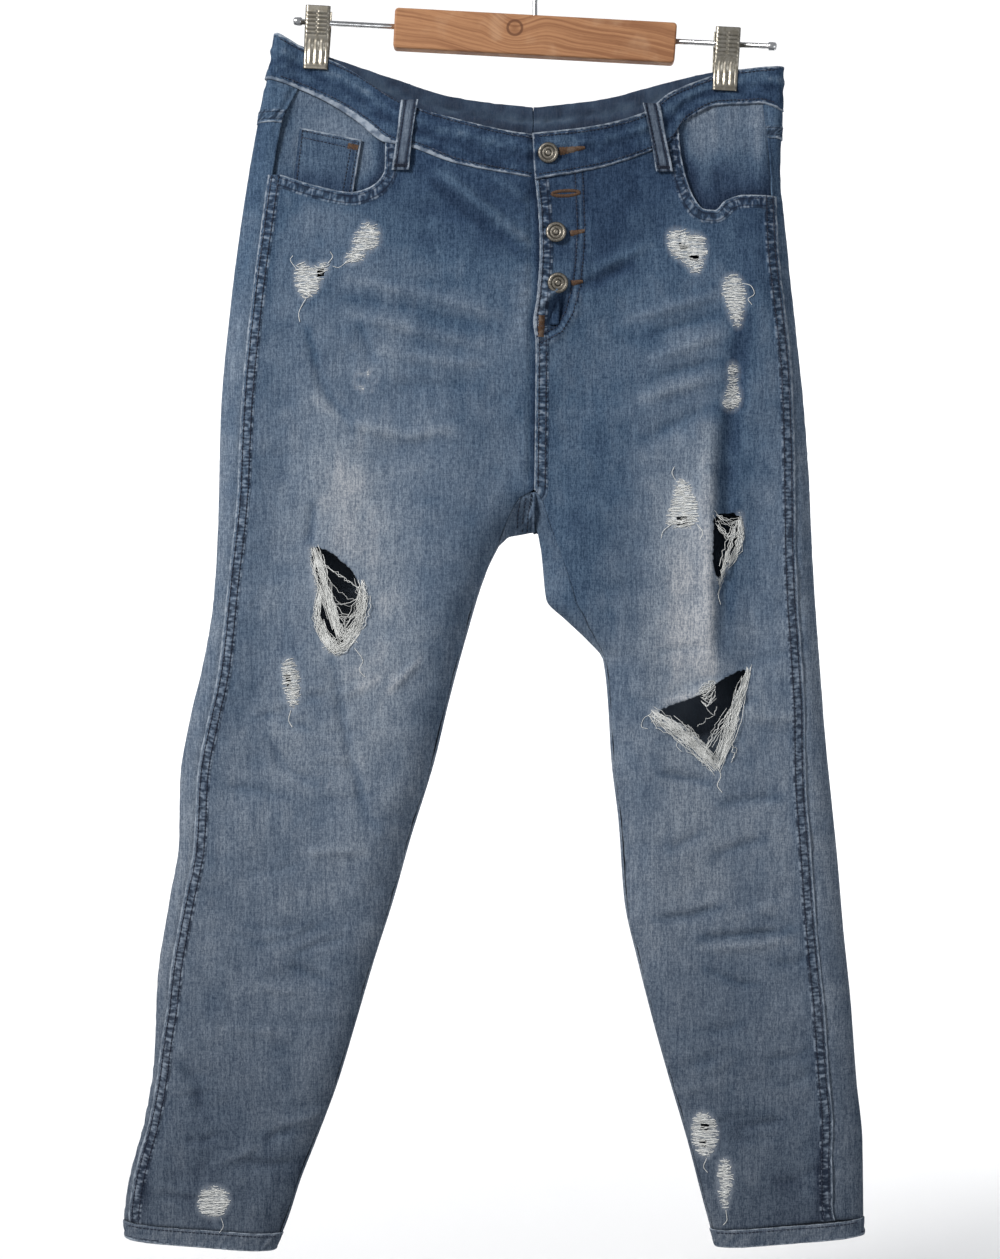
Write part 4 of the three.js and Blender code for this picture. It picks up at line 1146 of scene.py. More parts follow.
@kept("wrong side of twill")
def denim_inside(name):
    """The wrong side of the cloth, which lies in shade."""
    f = Finish(name)
    _, light, rib = woven(f)
    dye = f.mark("dye")["Color"]
    # Near-black greys stand in for the shade inside the legs: painted shade.
    colour = f.blend(f.span(light, 0.36, 0.64), (0.020, 0.023, 0.030), (0.075, 0.084, 0.100))
    colour = f.blend(0.6, colour, f.blend(1.0, dye, (0.95, 0.95, 0.96), "MULTIPLY"))
    f.shade(Base_Color=colour, Roughness=0.95, Specular_IOR_Level=0.1)
    f.bump(f.math("MULTIPLY_ADD", rib, 0.1, light), 0.0005, 0.6)
    return f.material


@kept("loose cotton")
def frayed_cotton(name):
    """Bared weft threads, off-white and a little dirty."""
    f = Finish(name)
    place = f.objects()
    ply = f.noise(place, 2600, 2.0)
    soiled = f.noise(place, 110, 3.0)
    cotton = bpy.context.scene.jeans_colours.cotton
    # Darker and lighter copies of the cotton, mixed by the ply noise: painted shade and highlight of the
    # twist.
    hollow, crown_highlight = [c * 0.62 for c in cotton], [min(1, c * 1.1) for c in cotton]
    colour = f.blend(f.span(ply, 0.35, 0.62), hollow, crown_highlight)
    colour = f.over(colour, (0.30, 0.31, 0.30), f.span(soiled, 0.5, 0.72), 0.5)
    f.shade(Base_Color=colour, Roughness=0.95, Specular_IOR_Level=0.15, Sheen_Weight=0.2)
    f.bump(ply, 0.0002, 0.8)
    return f.material


def sewing(name, colour, worn):
    """Twisted sewing thread in one colour, worn pale in places."""
    f = Finish(name)
    place = f.objects()
    ply = f.noise(place, 2400, 2.0)
    rubbed = f.noise(place, 140, 2.0)
    # A darker copy of the thread's colour, mixed by the ply noise: painted shade in the twist.
    dark = [c * 0.45 for c in colour]
    shade = f.blend(f.span(ply, 0.35, 0.65), dark, colour)
    shade = f.over(shade, worn, f.span(rubbed, 0.52, 0.7), 0.6)
    f.shade(Base_Color=shade, Roughness=0.7, Specular_IOR_Level=0.3)
    f.bump(ply, 0.0002, 0.8)
    return f.material


@kept("indigo thread")
def indigo_thread(name):
    """Dark blue topstitching."""
    colours = bpy.context.scene.jeans_colours
    return sewing(name, colours.indigo_thread, (0.10, 0.12, 0.17))


@kept("brown thread")
def brown_thread(name):
    """Brown buttonhole and bartack thread."""
    colours = bpy.context.scene.jeans_colours
    return sewing(name, colours.brown_thread, (0.17, 0.13, 0.10))


def metal(name, bright, dull, roughness, grain, tarnish):
    f = Finish(name)
    place = f.objects()
    scratch = f.noise(f.stretched(place, 900, 900, 160), 1.0, 3.0)
    cloud = f.noise(place, grain, 4.0, 0.6)
    colour = f.blend(f.span(cloud, 0.38, 0.62), bright, dull)
    hollow = f.add("ShaderNodeNewGeometry").outputs["Pointiness"]
    colour = f.over(colour, (0.03, 0.028, 0.024), f.span(hollow, 0.50, 0.44), tarnish)
    f.shade(Base_Color=colour, Metallic=1.0, Roughness=f.span(cloud, 0.3, 0.7, roughness, roughness + 0.18))
    f.bump(f.math("MULTIPLY_ADD", scratch, 0.5, cloud), 0.00006, 0.5)
    return f.material


@kept("antiqued button")
def button_metal(name):
    """Antiqued pressed metal, dark in its hollows."""
    return metal(name, (0.30, 0.275, 0.235), (0.13, 0.12, 0.10), 0.42, 900, 0.9)


@kept("nickel clip")
def clip_metal(name):
    """Nickel plate, slightly yellowed."""
    return metal(name, (0.42, 0.39, 0.33), (0.24, 0.22, 0.18), 0.32, 260, 0.7)


@kept("plated wire")
def steel(name):
    """Bright plated wire."""
    return metal(name, (0.66, 0.66, 0.66), (0.5, 0.5, 0.5), 0.2, 200, 0.2)


KNOT = (-0.017, -0.008, -0.083)  # in metres, from the origin


@kept("bare wood")
def hanger_wood(name):
    """Bare brown wood: grain along the bar, darker streaks and one knot."""
    f = Finish(name)
    place = f.objects()
    turned = f.add("ShaderNodeMapping", {"Vector": place, "Rotation": (0, math.radians(-11), 0)}).outputs[0]
    to_knot = f.add("ShaderNodeVectorMath", {0: place, 1: KNOT}, operation="DISTANCE")
    knot = to_knot.outputs["Value"]
    pull = f.span(knot, 0.030, 0.0)
    bent = f.noise(place, 14, 2.0)
    split = f.add("ShaderNodeSeparateXYZ", {0: turned})
    across = f.math("MULTIPLY_ADD", pull, 0.010, f.math("MULTIPLY_ADD", bent, 0.012, split.outputs[2]))
    along = f.math("MULTIPLY", split.outputs[0], 7)
    line = f.add("ShaderNodeCombineXYZ", {0: along, 1: split.outputs[1], 2: across})
    rings = f.noise(f.stretched(line.outputs[0], 1, 40, 420), 1.0, 3.0, 0.6)
    pores = f.noise(f.stretched(turned, 130, 600, 2600), 1.0, 2.0)
    wood = bpy.context.scene.hanger_looks.wood
    dark = bpy.context.scene.hanger_looks.wood_grain
    colour = f.blend(f.span(rings, 0.34, 0.66), dark, wood)
    colour = f.over(colour, (0.12, 0.05, 0.02), f.span(pores, 0.56, 0.72), 0.35)
    worn = f.noise(place, 45, 3.0)
    colour = f.over(colour, (0.55, 0.36, 0.22), f.span(worn, 0.5, 0.75), 0.28)
    ringed = f.math("ABSOLUTE", f.math("SUBTRACT", knot, 0.0062))
    colour = f.over(colour, (0.09, 0.03, 0.012), f.span(ringed, 0.0016, 0.0005), 0.75)
    colour = f.over(colour, (0.16, 0.06, 0.022), f.span(knot, 0.0055, 0.001), 0.55)
    f.shade(Base_Color=colour, Roughness=0.62, Specular_IOR_Level=0.3)
    f.bump(f.math("MULTIPLY_ADD", pores, -0.6, rings), 0.0003, 0.5)
    return f.material


@kept("studio paper")
def studio_paper(name):
    """Matt white paper sweep."""
    f = Finish(name)
    fibre = f.noise(f.objects(), 700, 2.0)
    colour = f.over((0.93, 0.93, 0.93), (0.86, 0.86, 0.86), fibre, 0.05)
    f.shade(Base_Color=colour, Roughness=0.95, Specular_IOR_Level=0.05)
    return f.material


# ---------------------------------------------------------------- panels


def gathered(s):
    """Columns set closer at both ends, where the cloth turns."""
    return mix(s, (1 - np.cos(np.pi * s)) / 2, 0.6)


def outseam_drop(half, v):
    above = mix(half["yoke_side_drop"], half["outseam_top"], -v / YOKE_V)
    return np.where(v < 0, above, mix(half["yoke_side_drop"], half["hem_outer"], v))


def inseam_drop(half, v):
    return mix(JOIN_DROP, half["hem_inner"], (v - JOIN_V) / (1 - JOIN_V))


def front_place(half):
    """Front leg: s runs from the centre or inseam to the outseam, t from the waistband to the hem."""
    top = half["front_seam"][0][1]

    def at_drop(across, drop):
        shift = np.where(drop < JOIN_DROP, 0.1, curve(half["inseam"], drop) + 0.15)
        start = inner_x(half, FRONT, drop) + half["out"] * shift
        if half is RIGHT:
            start = start + 4.5 * smooth((JOIN_DROP - drop) / 25)
        return mix(start, outseam_x(half, drop), across)

    def place(s, t):
        v = mix(-YOKE_V, 1, t)
        across = gathered(s)
        from_top = (v + YOKE_V) / (JOIN_V + YOKE_V)
        inner = np.where(v < JOIN_V, mix(top, JOIN_DROP, from_top), inseam_drop(half, v))
        level = mix(inner, outseam_drop(half, v), across)
        straight = mix(top, half["outseam_top"], across)
        sag = curve(half["front_seam"], np.abs(at_drop(across, straight))) - straight
        sag = sag * smooth((1 - across) / 0.02)
        fade = 1 - smooth((v + YOKE_V) / 0.3)
        drop = level + sag * fade - 4 * np.maximum(0, 1 - (v + YOKE_V) / 0.02)
        return laid(half, FRONT, at_drop(across, drop), drop)

    return place


def round_the_side(half, column, drop, inner_gap):
    """Point of the back reached from the outseam round the side, column counting the CAD's columns."""
    side = side_x(half, drop)
    turn = (1 - np.minimum(column, STRIP) / STRIP) * (np.pi / 2)
    wide = curve(half["outseam"], drop) + 2.6
    on_front = laid(half, FRONT, side - half["out"] * wide * (1 - np.cos(turn)), drop)
    across = gathered(np.clip((column - STRIP) / SEAT, 0, 1))
    inner = inner_x(half, BACK, drop) + half["out"] * inner_gap
    behind = laid(half, BACK, mix(side, inner, across), drop)
    return np.where((column < STRIP)[..., None], on_front, behind)


def back_place(half):
    """Back leg: s runs from the outseam round the side to the fork or inseam, t from the yoke to the hem."""
    seam_top = half["yoke_seam"][0][1]

    def seat_drop(v):
        above = mix(seam_top, FORK_DROP, v / FORK_V)
        thigh = [(p, inseam_drop(half, p)) for p in (0.52, CALM_V)]
        below = curve([(FORK_V, 508), (JOIN_V, 520), (0.46, 533)] + thigh, v)
        return np.where(v < FORK_V, above, np.where(v < CALM_V, below, inseam_drop(half, v)))

    def tuck(v):
        return 4 * np.maximum(0, 1 - v / 0.012)

    def fork_end(v):
        gap = half["out"] * 0.2
        drop = mix(seam_top, FORK_DROP, v / FORK_V) - tuck(v)
        behind = laid(half, BACK, inner_x(half, BACK, drop), drop)
        behind[..., 0] += gap
        rise = np.clip((v - FORK_V) / (JOIN_V - FORK_V), 0, 1)
        deep = depth(half, FRONT, np.float64(CENTRE_X), np.float64(JOIN_DROP)) * np.sin(rise * np.pi / 2)
        apart = half["out"] * 0.3 * np.sin(rise * np.pi)
        under = np.stack([CENTRE_X + gap + apart, -deep, -mix(FORK_DROP, JOIN_DROP + 1, rise)], axis=-1)
        low = inseam_drop(half, v) + 0.4 * (v < JOIN_V + 0.02)
        shift = np.maximum(0, curve(half["inseam"], low) - 0.15)
        leg = laid(half, FRONT, inner_x(half, FRONT, low) + half["out"] * shift, low)
        leg[..., 0] -= half["out"] * curve([(500, 0.5), (530, 0)], low)
        first = (v < FORK_V)[..., None]
        return np.where(first, behind, np.where((v < JOIN_V)[..., None], under, leg))

    def place(s, t):
        column, v = s * (STRIP + SEAT + FORK), t
        seat = seat_drop(v)
        inset = curve([(440, 25), (FORK_DROP, 9), (514, 0)], seat)

        def on(c):
            across = gathered(np.clip((c - STRIP) / SEAT, 0, 1))
            level = mix(outseam_drop(half, v), seat, across)
            straight = mix(half["yoke_side_drop"], seam_top, across)
            away = np.abs(mix(side_x(half, straight), CENTRE_X, across))
            sag = np.where(c < STRIP, 0, curve(half["yoke_seam"], away) - straight)
            drop = level + sag * (1 - smooth(v / 0.3)) - tuck(v)
            return round_the_side(half, c, drop, inset)

        start = on(np.minimum(column, STRIP + SEAT - 1e-9))
        end = fork_end(v)
        turn = np.clip((column - STRIP - SEAT) / FORK, 0, 1)
        late, early = 1 - np.cos(turn * np.pi / 2), np.sin(turn * np.pi / 2)
        on_leg = smooth((v - JOIN_V) / LEG_V)
        bent = np.stack(
            [
                mix(start[..., 0], end[..., 0], mix(early, late, on_leg)),
                mix(start[..., 1], end[..., 1], mix(late, early, on_leg)),
                mix(start[..., 2], end[..., 2], turn),
            ],
            axis=-1,
        )
        return np.where((column > STRIP + SEAT)[..., None], bent, start)

    return place


def yoke_place(half):
    def place(s, t):
        column = s * (STRIP + SEAT)
        across = gathered(np.clip((column - STRIP) / SEAT, 0, 1))
        away = np.abs(mix(side_x(half, half["yoke_side_drop"]), CENTRE_X, across))
        on_strip = np.minimum(1, column / STRIP)
        top = np.where(
            column < STRIP,
            mix(half["outseam_top"], half["back_seam"][-1][1], on_strip),
            curve(half["back_seam"], away),
        )
        foot = np.where(column < STRIP, half["yoke_side_drop"], curve(half["yoke_seam"], away))
        drop = mix(top - 4, foot, t)
        return round_the_side(half, column, drop, 0.2)

    return place


def band_place(half):
    def place(s, t):
        share = np.where(s < 0.5, s * 2, 2 - s * 2)
        across = gathered(share)
        away = abs(half["corner_x"]) * across
        parts = []
        for face, top, seam in ((FRONT, "front_top", "front_seam"), (BACK, "back_top", "back_seam")):
            drop = mix(curve(half[top], away), curve(half[seam], away), t)
            centre = (curve(CENTRE_FRONT, drop) if face is FRONT else CENTRE_X) + half["out"] * 0.15
            if face is FRONT and half is RIGHT:
                centre = centre + 4
            parts.append(laid(half, face, mix(centre, side_x(half, drop), across), drop))
        return np.where((s < 0.5)[..., None], parts[0], parts[1])

    return place


def hem_place(half):
    def place(s, t):
        share = np.where(s % 1 < 0.5, (s % 1) * 2, 2 - (s % 1) * 2)
        across = gathered(share)
        slope = mix(0, half["hem_outer"] - half["hem_inner"], across)
        level = half["hem_inner"] + mix(0.2, HEM_HEIGHT, t) + slope
        parts = [
            laid(half, face, mix(inner_x(half, face, level), side_x(half, level), across), level)
            for face in (FRONT, BACK)
        ]
        return np.where((s % 1 < 0.5)[..., None], parts[0], parts[1])

    return place


def flat_place(half, face, outline, sink=None):
    """A piece laid on one face: outline(s, t) gives x and drop."""

    def place(s, t):
        x, drop = outline(s, t)
        point = laid(half, face, x, drop)
        if sink is not None:
            point[..., 1] -= face["sign"] * sink(x, drop)
        return point

    return place


def build_front(half):
    mouth = mouth_path(half)
    far = half["out"] * (abs(mouth[-1][0]) + 60)
    cut_out = mouth + [(far, mouth[-1][1]), (far, 60), (mouth[0][0], 60)]
    rips = [THIGH_RIP] if half is RIGHT else [SIDE_RIP, KNEE_RIP]
    holes = [softened(o, 1) for o in rips] + PIN_HOLES

    def gone(x, drop):
        off = within(cut_out, x, drop)
        ragged = 0.7 * rumple(x, drop, 1.9, 61)
        for hole in holes:
            off = np.maximum(off, within(hole, x, drop) + ragged)
        return off

    base = front_place(half)
    lift = front_lift(half)
    seam = half["front_seam"]

    def under_band(point):
        x, drop = drawn(point)
        shown = smooth((drop - curve(seam, np.abs(x)) + 0.5) / 4)
        return mix(-0.5, lift(point), shown)

    flip = half["out"] > 0
    return cloth(
        "front_" + half["name"],
        bpy.context.scene.jeans_sizes.front_columns,
        bpy.context.scene.jeans_sizes.front_rows,
        raised(base, under_band, flip),
        flip,
        WALL,
        panel_marks(half, FRONT, front_edges(half)),
        gone,
        (220, 950),
    )


def build_back(half):
    flip = half["out"] > 0
    edges = [[(CENTRE_X, 170), (CENTRE_X, 500)]] if half is LEFT else []
    return cloth(
        "back_" + half["name"],
        bpy.context.scene.jeans_sizes.back_columns,
        bpy.context.scene.jeans_sizes.back_rows,
        raised(back_place(half), back_lift(half), flip),
        flip,
        WALL,
        back_marks(half, edges),
    )


def back_marks(half, edges):
    marks = panel_marks(half, BACK, edges)

    def behind(point):
        found = marks(point)
        found["edge"] = np.where(point[..., 1] > 4, found["edge"], FAR)
        return found

    return behind


def build_yoke(half):
    flip = half["out"] > 0
    seam = [(x * half["out"], d) for x, d in half["yoke_seam"]]

    def lift(point):
        (x, drop), y = drawn(point), point[..., 1]
        away, along = beside(seam, x, drop)
        raised_seam = np.where(y > 0, puckered(away, along), 0)
        strip = half["yoke_side_drop"] - drop
        covered = np.where(y > 0, curve(half["back_seam"], np.abs(x)), half["outseam_top"])
        shown = smooth((drop - covered + 1) / 5)
        under, _ = beside(outseam_path(half), x, drop)
        sunk = (y < 0) * 1.7 * smooth(1 - under / 5)
        on_strip = 0.5 * smooth((12 - strip) / 2) * (1 + 0.6 * rumple(x, drop, 3, 17))
        side = np.where(y < 0, on_strip, raised_seam)
        return mix(-0.5, 0.5 + side + 0.3 * rumple(x, drop, 12, 16) - sunk, shown)

    def edge(point):
        (x, drop), y = drawn(point), point[..., 1]
        away, _ = beside(seam, x, drop)
        return np.where(y > 0, away, half["yoke_side_drop"] - drop)

    place = raised(yoke_place(half), lift, flip)
    return cloth("yoke_" + half["name"], 110, 26, place, flip, WALL, plain_marks(0.40, edge), size=(260, 80))


def build_waistband(half):
    flip = half["out"] > 0

    def share(point):
        (x, drop), y = drawn(point), point[..., 1]
        away = np.abs(x)
        front = y < 0
        top = np.where(front, curve(half["front_top"], away), curve(half["back_top"], away))
        foot = np.where(front, curve(half["front_seam"], away), curve(half["back_seam"], away))
        return drop - top, foot - drop, foot - top

    def sway(x, seed):
        return 0.05 * rumple(x, 0, 40, seed)

    def lift(point):
        (x, drop), y = drawn(point), point[..., 1]
        from_top, from_foot, high = share(point)
        middle = from_top / high
        fold = 0.9 * hump(middle, 0.36 + sway(x, 71), 0.09)
        trough = -0.9 * hump(middle, 0.55 + sway(x, 72), 0.11)
        crumple = 0.75 * rumple(x, drop, 7, 73) * np.sin(np.pi * np.clip(middle, 0, 1))
        crumple = crumple + 0.3 * rumple(x, drop, 3.5, 74)
        rolled = 0.5 * hump(from_foot, 0, 1.6) + 0.5 * hump(from_top, 0, 1.6)
        height = BAND_PROUD + 0.5 + fold + trough + crumple + rolled
        if half is LEFT:
            height = height + 1.1 * (y < 0) * smooth(1 - (x - 3) / 60)
        else:
            height = height - 2.4 * (y < 0) * smooth((x + 8) / 7)
        near_clip = hump(x, half["clip_x"], 15) * smooth(1 - from_top / 34)
        return mix(height, 0.2, near_clip)

    def edge(point):
        from_top, from_foot, _ = share(point)
        away = np.minimum(from_top, from_foot)
        if half is LEFT:
            on_placket = point[..., 0] - curve(CENTRE_FRONT, -point[..., 2])
            away = np.where(point[..., 1] < 0, np.minimum(away, np.maximum(0, on_placket)), away)
        return np.where(away < 3, away, FAR)

    def marks(point):
        x, drop = drawn(point)
        from_top, from_foot, high = share(point)
        middle = from_top / high
        # Lighter along the band's fold as wear, darker in the trough below it as painted shade.
        washed = 0.19 + 0.16 * hump(middle, 0.33, 0.10) - 0.10 * hump(middle, 0.55, 0.1)
        washed = washed + 0.06 * smooth((np.abs(x) - 110) / 60) + 0.15 * rumple(x * 0.6, drop, 6, 73)
        washed = washed + 0.09 * rumple(x, drop, 3.5, 74) - 0.05 * hump(from_foot, 4, 2.5)
        return marked(x, washed, edge=edge(point), run=x)

    place = raised(band_place(half), lift, flip)
    name = "waistband_" + half["name"]
    band = cloth(name, 260, 24, place, flip, BAND_WALL, marks, size=(470, 38), slot="denim_dark")
    round_edges(band, 0.9)
    return band


def build_hem(half):
    flip = half["out"] > 0

    def below_fold(x, drop):
        slope = (half["hem_outer"] - half["hem_inner"]) / 120
        return drop - half["hem_inner"] - slope * np.abs(x - inner_x(half, FRONT, drop))

    def lift(point):
        x, drop = drawn(point)
        down = below_fold(x, drop)
        roping = 0.45 * rumple(x + 0.8 * drop, drop * 0.4, 3.6, 81)
        return BAND_PROUD + 0.4 + roping + 0.4 * hump(down, 13, 2) - 0.4 * hump(down, 10.5, 1.2)

    def marks(point):
        x, drop = drawn(point)
        down = below_fold(x, drop)
        washed = 0.5 + 0.14 * rumple(x + 0.8 * drop, drop * 0.4, 3.6, 81) + 0.04 * rumple(x, drop, 9, 82)
        at_top = np.where(down < 1.2, np.maximum(0, down), FAR)
        edge = np.where(down > 12, np.maximum(0, HEM_HEIGHT - down), at_top)
        return marked(x, washed, 0.45, edge, x)

    place = raised(hem_place(half), lift, flip)
    name = "hem_" + half["name"]
    hem = cloth(name, 160, 8, place, flip, HEM_WALL, marks, size=(260, 15), ring=True, slot="denim_dark")
    round_edges(hem, 1.0)
    return hem


# ---------------------------------------------------------------- pockets, loops and fly


def build_facing(half, inside_x, bottom, deep):
    """Denim behind a front pocket mouth."""

    def outline(s, t):
        across = s if half["out"] > 0 else 1 - s
        guess = mix(inside_x, outseam_x(half, bottom), across)
        top = curve(half["front_seam"], np.abs(guess)) - 2
        drop = mix(top, bottom, t)
        return mix(inside_x, outseam_x(half, drop) + half["out"] * 1.5, across), drop

    def sink(x, drop):
        seam = curve(half["front_seam"], np.abs(x))
        return 1.5 + smooth((drop - half["outseam_top"]) / 40) * deep + 0.3 * smooth((seam - drop) / 2)

    def lift(point):
        x, drop = drawn(point)
        return 0.5 * rumple(x, drop, 16, 91) + 0.3 * rumple(x, drop, 6, 92)

    mouth = mouth_path(half)

    def marks(point):
        x, drop = drawn(point)
        rim, _ = beside(mouth, x, drop)
        # Darker along the mouth and towards the bottom, where the facing sinks behind the front: painted
        # shade.
        if half is RIGHT:
            washed = 0.50 + 0.14 * hump(x, -165, 26) * hump(drop, 176, 22)
            washed = washed - 0.42 * hump(rim, 0, 9) * smooth((x + 158) / 30)
            washed = washed - 0.16 * smooth((drop - 196) / 26) - 0.1 * smooth((-198 - x) / 8)
        else:
            washed = 0.60 - 0.42 * smooth((drop - 176) / 40) + 0.1 * rumple(x, drop * 0.2, 6, 95)
            washed = washed - 0.3 * hump(rim, 0, 6) - 0.12 * smooth((x - 186) / 14)
        washed = washed + 0.05 * rumple(x, drop, 9, 93)
        return marked(x, washed, 0.1, run=x)

    base = flat_place(half, FRONT, outline, sink)
    name = "pocket_facing_" + half["name"]
    return cloth(name, 56, 60, raised(base, lift, True), True, WALL, marks, size=(90, 100))


COIN = ((-197, 167), (-145, 178), (-202, 228), (-153, 234))


def coin_outline(s, t):
    """x and drop on the coin pocket, whose corners are COIN."""
    (ax, ad), (bx, bd), (cx, cd), (dx, dd) = COIN
    return mix(mix(ax, bx, s), mix(cx, dx, s), t), mix(mix(ad, bd, s), mix(cd, dd, s), t)


def coin_sink(x, drop):
    return 0.5 + smooth((drop - RIGHT["outseam_top"]) / 40) * 2.6


def build_coin_pocket():
    def sides(point):
        x, drop = drawn(point)
        left, _ = beside([COIN[0], COIN[2]], x, drop)
        right, _ = beside([COIN[1], COIN[3]], x, drop)
        top, _ = beside([COIN[0], COIN[1]], x, drop)
        return left, right, top

    def lift(point):
        x, drop = drawn(point)
        left, right, top = sides(point)
        rim = 0.5 * hump(np.minimum(np.minimum(left, right), top), 0, 1.6)
        band = 0.35 * smooth((8 - np.minimum(right, top)) / 2)
        full = hump(x, -172, 14) * hump(drop, 196, 12)
        return rim + band + full + 0.4 * rumple(x, drop, 8, 94)

    def marks(point):
        x, drop = drawn(point)
        left, right, top = sides(point)
        # Darker towards the bottom, where the pocket sinks behind the mouth's edge: painted shade.
        washed = 0.37 - 0.20 * smooth((drop - 196) / 26) - 0.12 * hump(top, 7.5, 1.3)
        washed = washed - 0.16 * hump(right, 5.5, 1.5) + 0.06 * rumple(x, drop, 7, 96)
        washed = washed - 0.12 * smooth(1 - left / 5)
        edge = np.where(np.minimum(right, top) < 2.4, np.minimum(right, top), FAR)
        return marked(x, washed, 0.1, edge, x + drop)

    base = flat_place(RIGHT, FRONT, coin_outline, coin_sink)
    return cloth("coin_pocket", 40, 40, raised(base, lift, True), True, WALL, marks, size=(52, 58))


POCKET = {"top": 250, "high": 140, "point": 16, "top_half": 66, "foot_half": 57}


POCKET_CENTRES = {"right": -124, "left": 106}


def pocket_outline(centre):
    def outline(s, t):
        side = s * 2 - 1
        point = POCKET["point"] * (1 - np.abs(side)) * t
        x = centre + side * mix(POCKET["top_half"], POCKET["foot_half"], t)
        return x, POCKET["top"] + POCKET["high"] * t + point

    return outline


def along_outline(outline, ways):
    """The points of an outline at pairs of (s, t)."""
    return [tuple(float(n) for n in outline(s, t)) for s, t in ways]


def pocket_rim(centre):
    outline = pocket_outline(centre)
    return along_outline(outline, [(0, 0), (0, 1), (0.5, 1), (1, 1), (1, 0), (0, 0)])


def build_back_pocket(half, centre):
    rim = pocket_rim(centre)

    def lift(point):
        x, drop = drawn(point)
        away, along = beside(rim, x, drop)
        full = 1.4 * smooth(away / 40)
        sewn = 0.7 * puckered(away, along, 9) - 0.9 * hump(away, 0, 1.2)
        return 1.2 + creased(BACK, x, drop) + sewn + full

    def marks(point):
        x, drop = drawn(point)
        away, along = beside(rim, x, drop)
        washed = washed_at(BACK, x, drop) + 0.05 * rumple(x, drop, 18, 97) + 0.05
        return marked(x, washed, edge=away, run=along)

    base = flat_place(half, BACK, pocket_outline(centre))
    name = "back_pocket_" + half["name"]
    return cloth(name, 64, 76, raised(base, lift, False), False, WALL, marks, size=(126, 150))


def build_underlap():
    def outline(s, t):
        return mix(-26, 20, s), mix(216, 334, t)

    base = flat_place(LEFT, FRONT, outline, lambda x, drop: 3.4)

    def lift(point):
        return 0.3 * rumple(*drawn(point), 9, 98)

    place, marks = raised(base, lift, True), plain_marks(0.2)
    return cloth("fly_underlap", 20, 50, place, True, WALL, marks, size=(46, 118), slot="denim_dark")


LOOPS = {
    "belt_loop_front_right": (RIGHT, FRONT, (-104, 146), (-112, 206)),
    "belt_loop_front_left": (LEFT, FRONT, (96, 148), (107, 207)),
    "belt_loop_back_right": (RIGHT, BACK, (-112, 125), (-110, 178)),
    "belt_loop_back_left": (LEFT, BACK, (104, 130), (102, 182)),
    "belt_loop_back_centre": (LEFT, BACK, (0, 146), (0, 200)),
}


def build_loop(name):
    """A belt loop: sewn down at both ends, standing off between them."""
    half, face, start, end = LOOPS[name]

    def outline(s, t):
        lean = mix(start[0], end[0], t)
        return lean + (s - 0.5) * LOOP_WIDE * (1 + 0.05 * np.cos(t * 2 * np.pi)), mix(start[1], end[1], t)

    def across(point):
        x, drop = drawn(point)
        t = (drop - start[1]) / (end[1] - start[1])
        return np.abs(x - mix(start[0], end[0], t)), t

    def lift(point):
        (x, drop), (side, t) = drawn(point), across(point)
        arch = 2.6 + 1.5 * np.clip(1 - np.abs(np.clip(t, 0, 1) * 2 - 1) ** 6, 0, 1)
        ridge = 0.55 * hump(side, 5.6, 1.3) - 0.35 * hump(side, 3.7, 0.9)
        tacked = -0.6 * hump(t, 0.93, 0.03) + 0.4 * hump(t, 0.985, 0.02)
        return arch + ridge + tacked + 0.3 * rumple(x * 0.3, drop, 3.6, 101)

    def marks(point):
        (x, drop), (side, t) = drawn(point), across(point)
        washed = 0.34 + 0.14 * rumple(x * 0.4, drop, 3.6, 101) - 0.22 * hump(side, 4.0, 0.9)
        washed = washed - 0.3 * hump(t, 0.91, 0.02) - 0.25 * smooth(1 - t / 0.05)
        return marked(x, washed, 0.35, np.clip(LOOP_WIDE / 2 - side, 0, FAR), 999)

    flip = face is FRONT
    base = flat_place(half, face, outline)
    place = raised(base, lift, flip)
    loop = cloth(name, 18, 60, place, flip, LOOP_WALL, marks, size=(14, 60), slot="denim_dark")
    round_edges(loop, 0.8)
    return loop


# ---------------------------------------------------------------- hard pieces


def turned(mesh_name, profile, segments, matrix):
    """A lathed mesh from a profile of (radius, height) in mm, its axis along Z before the matrix."""
    lathe = bmesh.new()
    verts = [lathe.verts.new((radius, 0, height)) for radius, height in profile]
    edges = [lathe.edges.new(pair) for pair in zip(verts[:-1], verts[1:])]
    bmesh.ops.spin(
        lathe,
        geom=verts + edges,
        cent=(0, 0, 0),
        axis=(0, 0, 1),
        angle=2 * math.pi,
        steps=segments,
        use_merge=True,
    )
    bmesh.ops.remove_doubles(lathe, verts=lathe.verts, dist=1e-4)
    bmesh.ops.recalc_face_normals(lathe, faces=lathe.faces)
    bmesh.ops.transform(lathe, matrix=matrix, verts=lathe.verts)
    bmesh.ops.scale(lathe, vec=(MM, MM, MM), verts=lathe.verts)
    return meshed(lathe, mesh_name)


BUTTON_PROFILE = [
    (0, 0), (7.6, 0), (8.3, 0.5), (8.6, 1.3), (8.35, 2.1), (7.7, 2.75), (6.9, 3.0), (6.2, 2.85), (5.8, 2.3),
    (5.5, 1.75), (4.9, 1.65), (4.2, 1.95), (3.4, 1.95), (3.0, 1.55), (2.65, 1.5), (2.35, 1.9), (2.1, 2.6),
    (1.5, 3.0), (0.8, 2.95), (0, 2.7),
]
BUTTONS = {
    "button_waist": (10.5, 192, 2.4, 3),
    "button_fly_upper": (17, 258, 1.8, -5),
    "button_fly_lower": (18.5, 300, 1.8, 6),
}


def build_button(name):
    x, drop, proud, tilt = BUTTONS[name]
    seat = float(depth(LEFT, FRONT, np.float64(x), np.float64(drop))) + proud
    face = Matrix.Rotation(math.radians(90 + tilt), 4, "X")
    mesh = turned(name, BUTTON_PROFILE, 56, Matrix.Translation((x, -seat, -drop)) @ face)
    return finished(mesh, name, [button_metal()], "button_metal", [name])


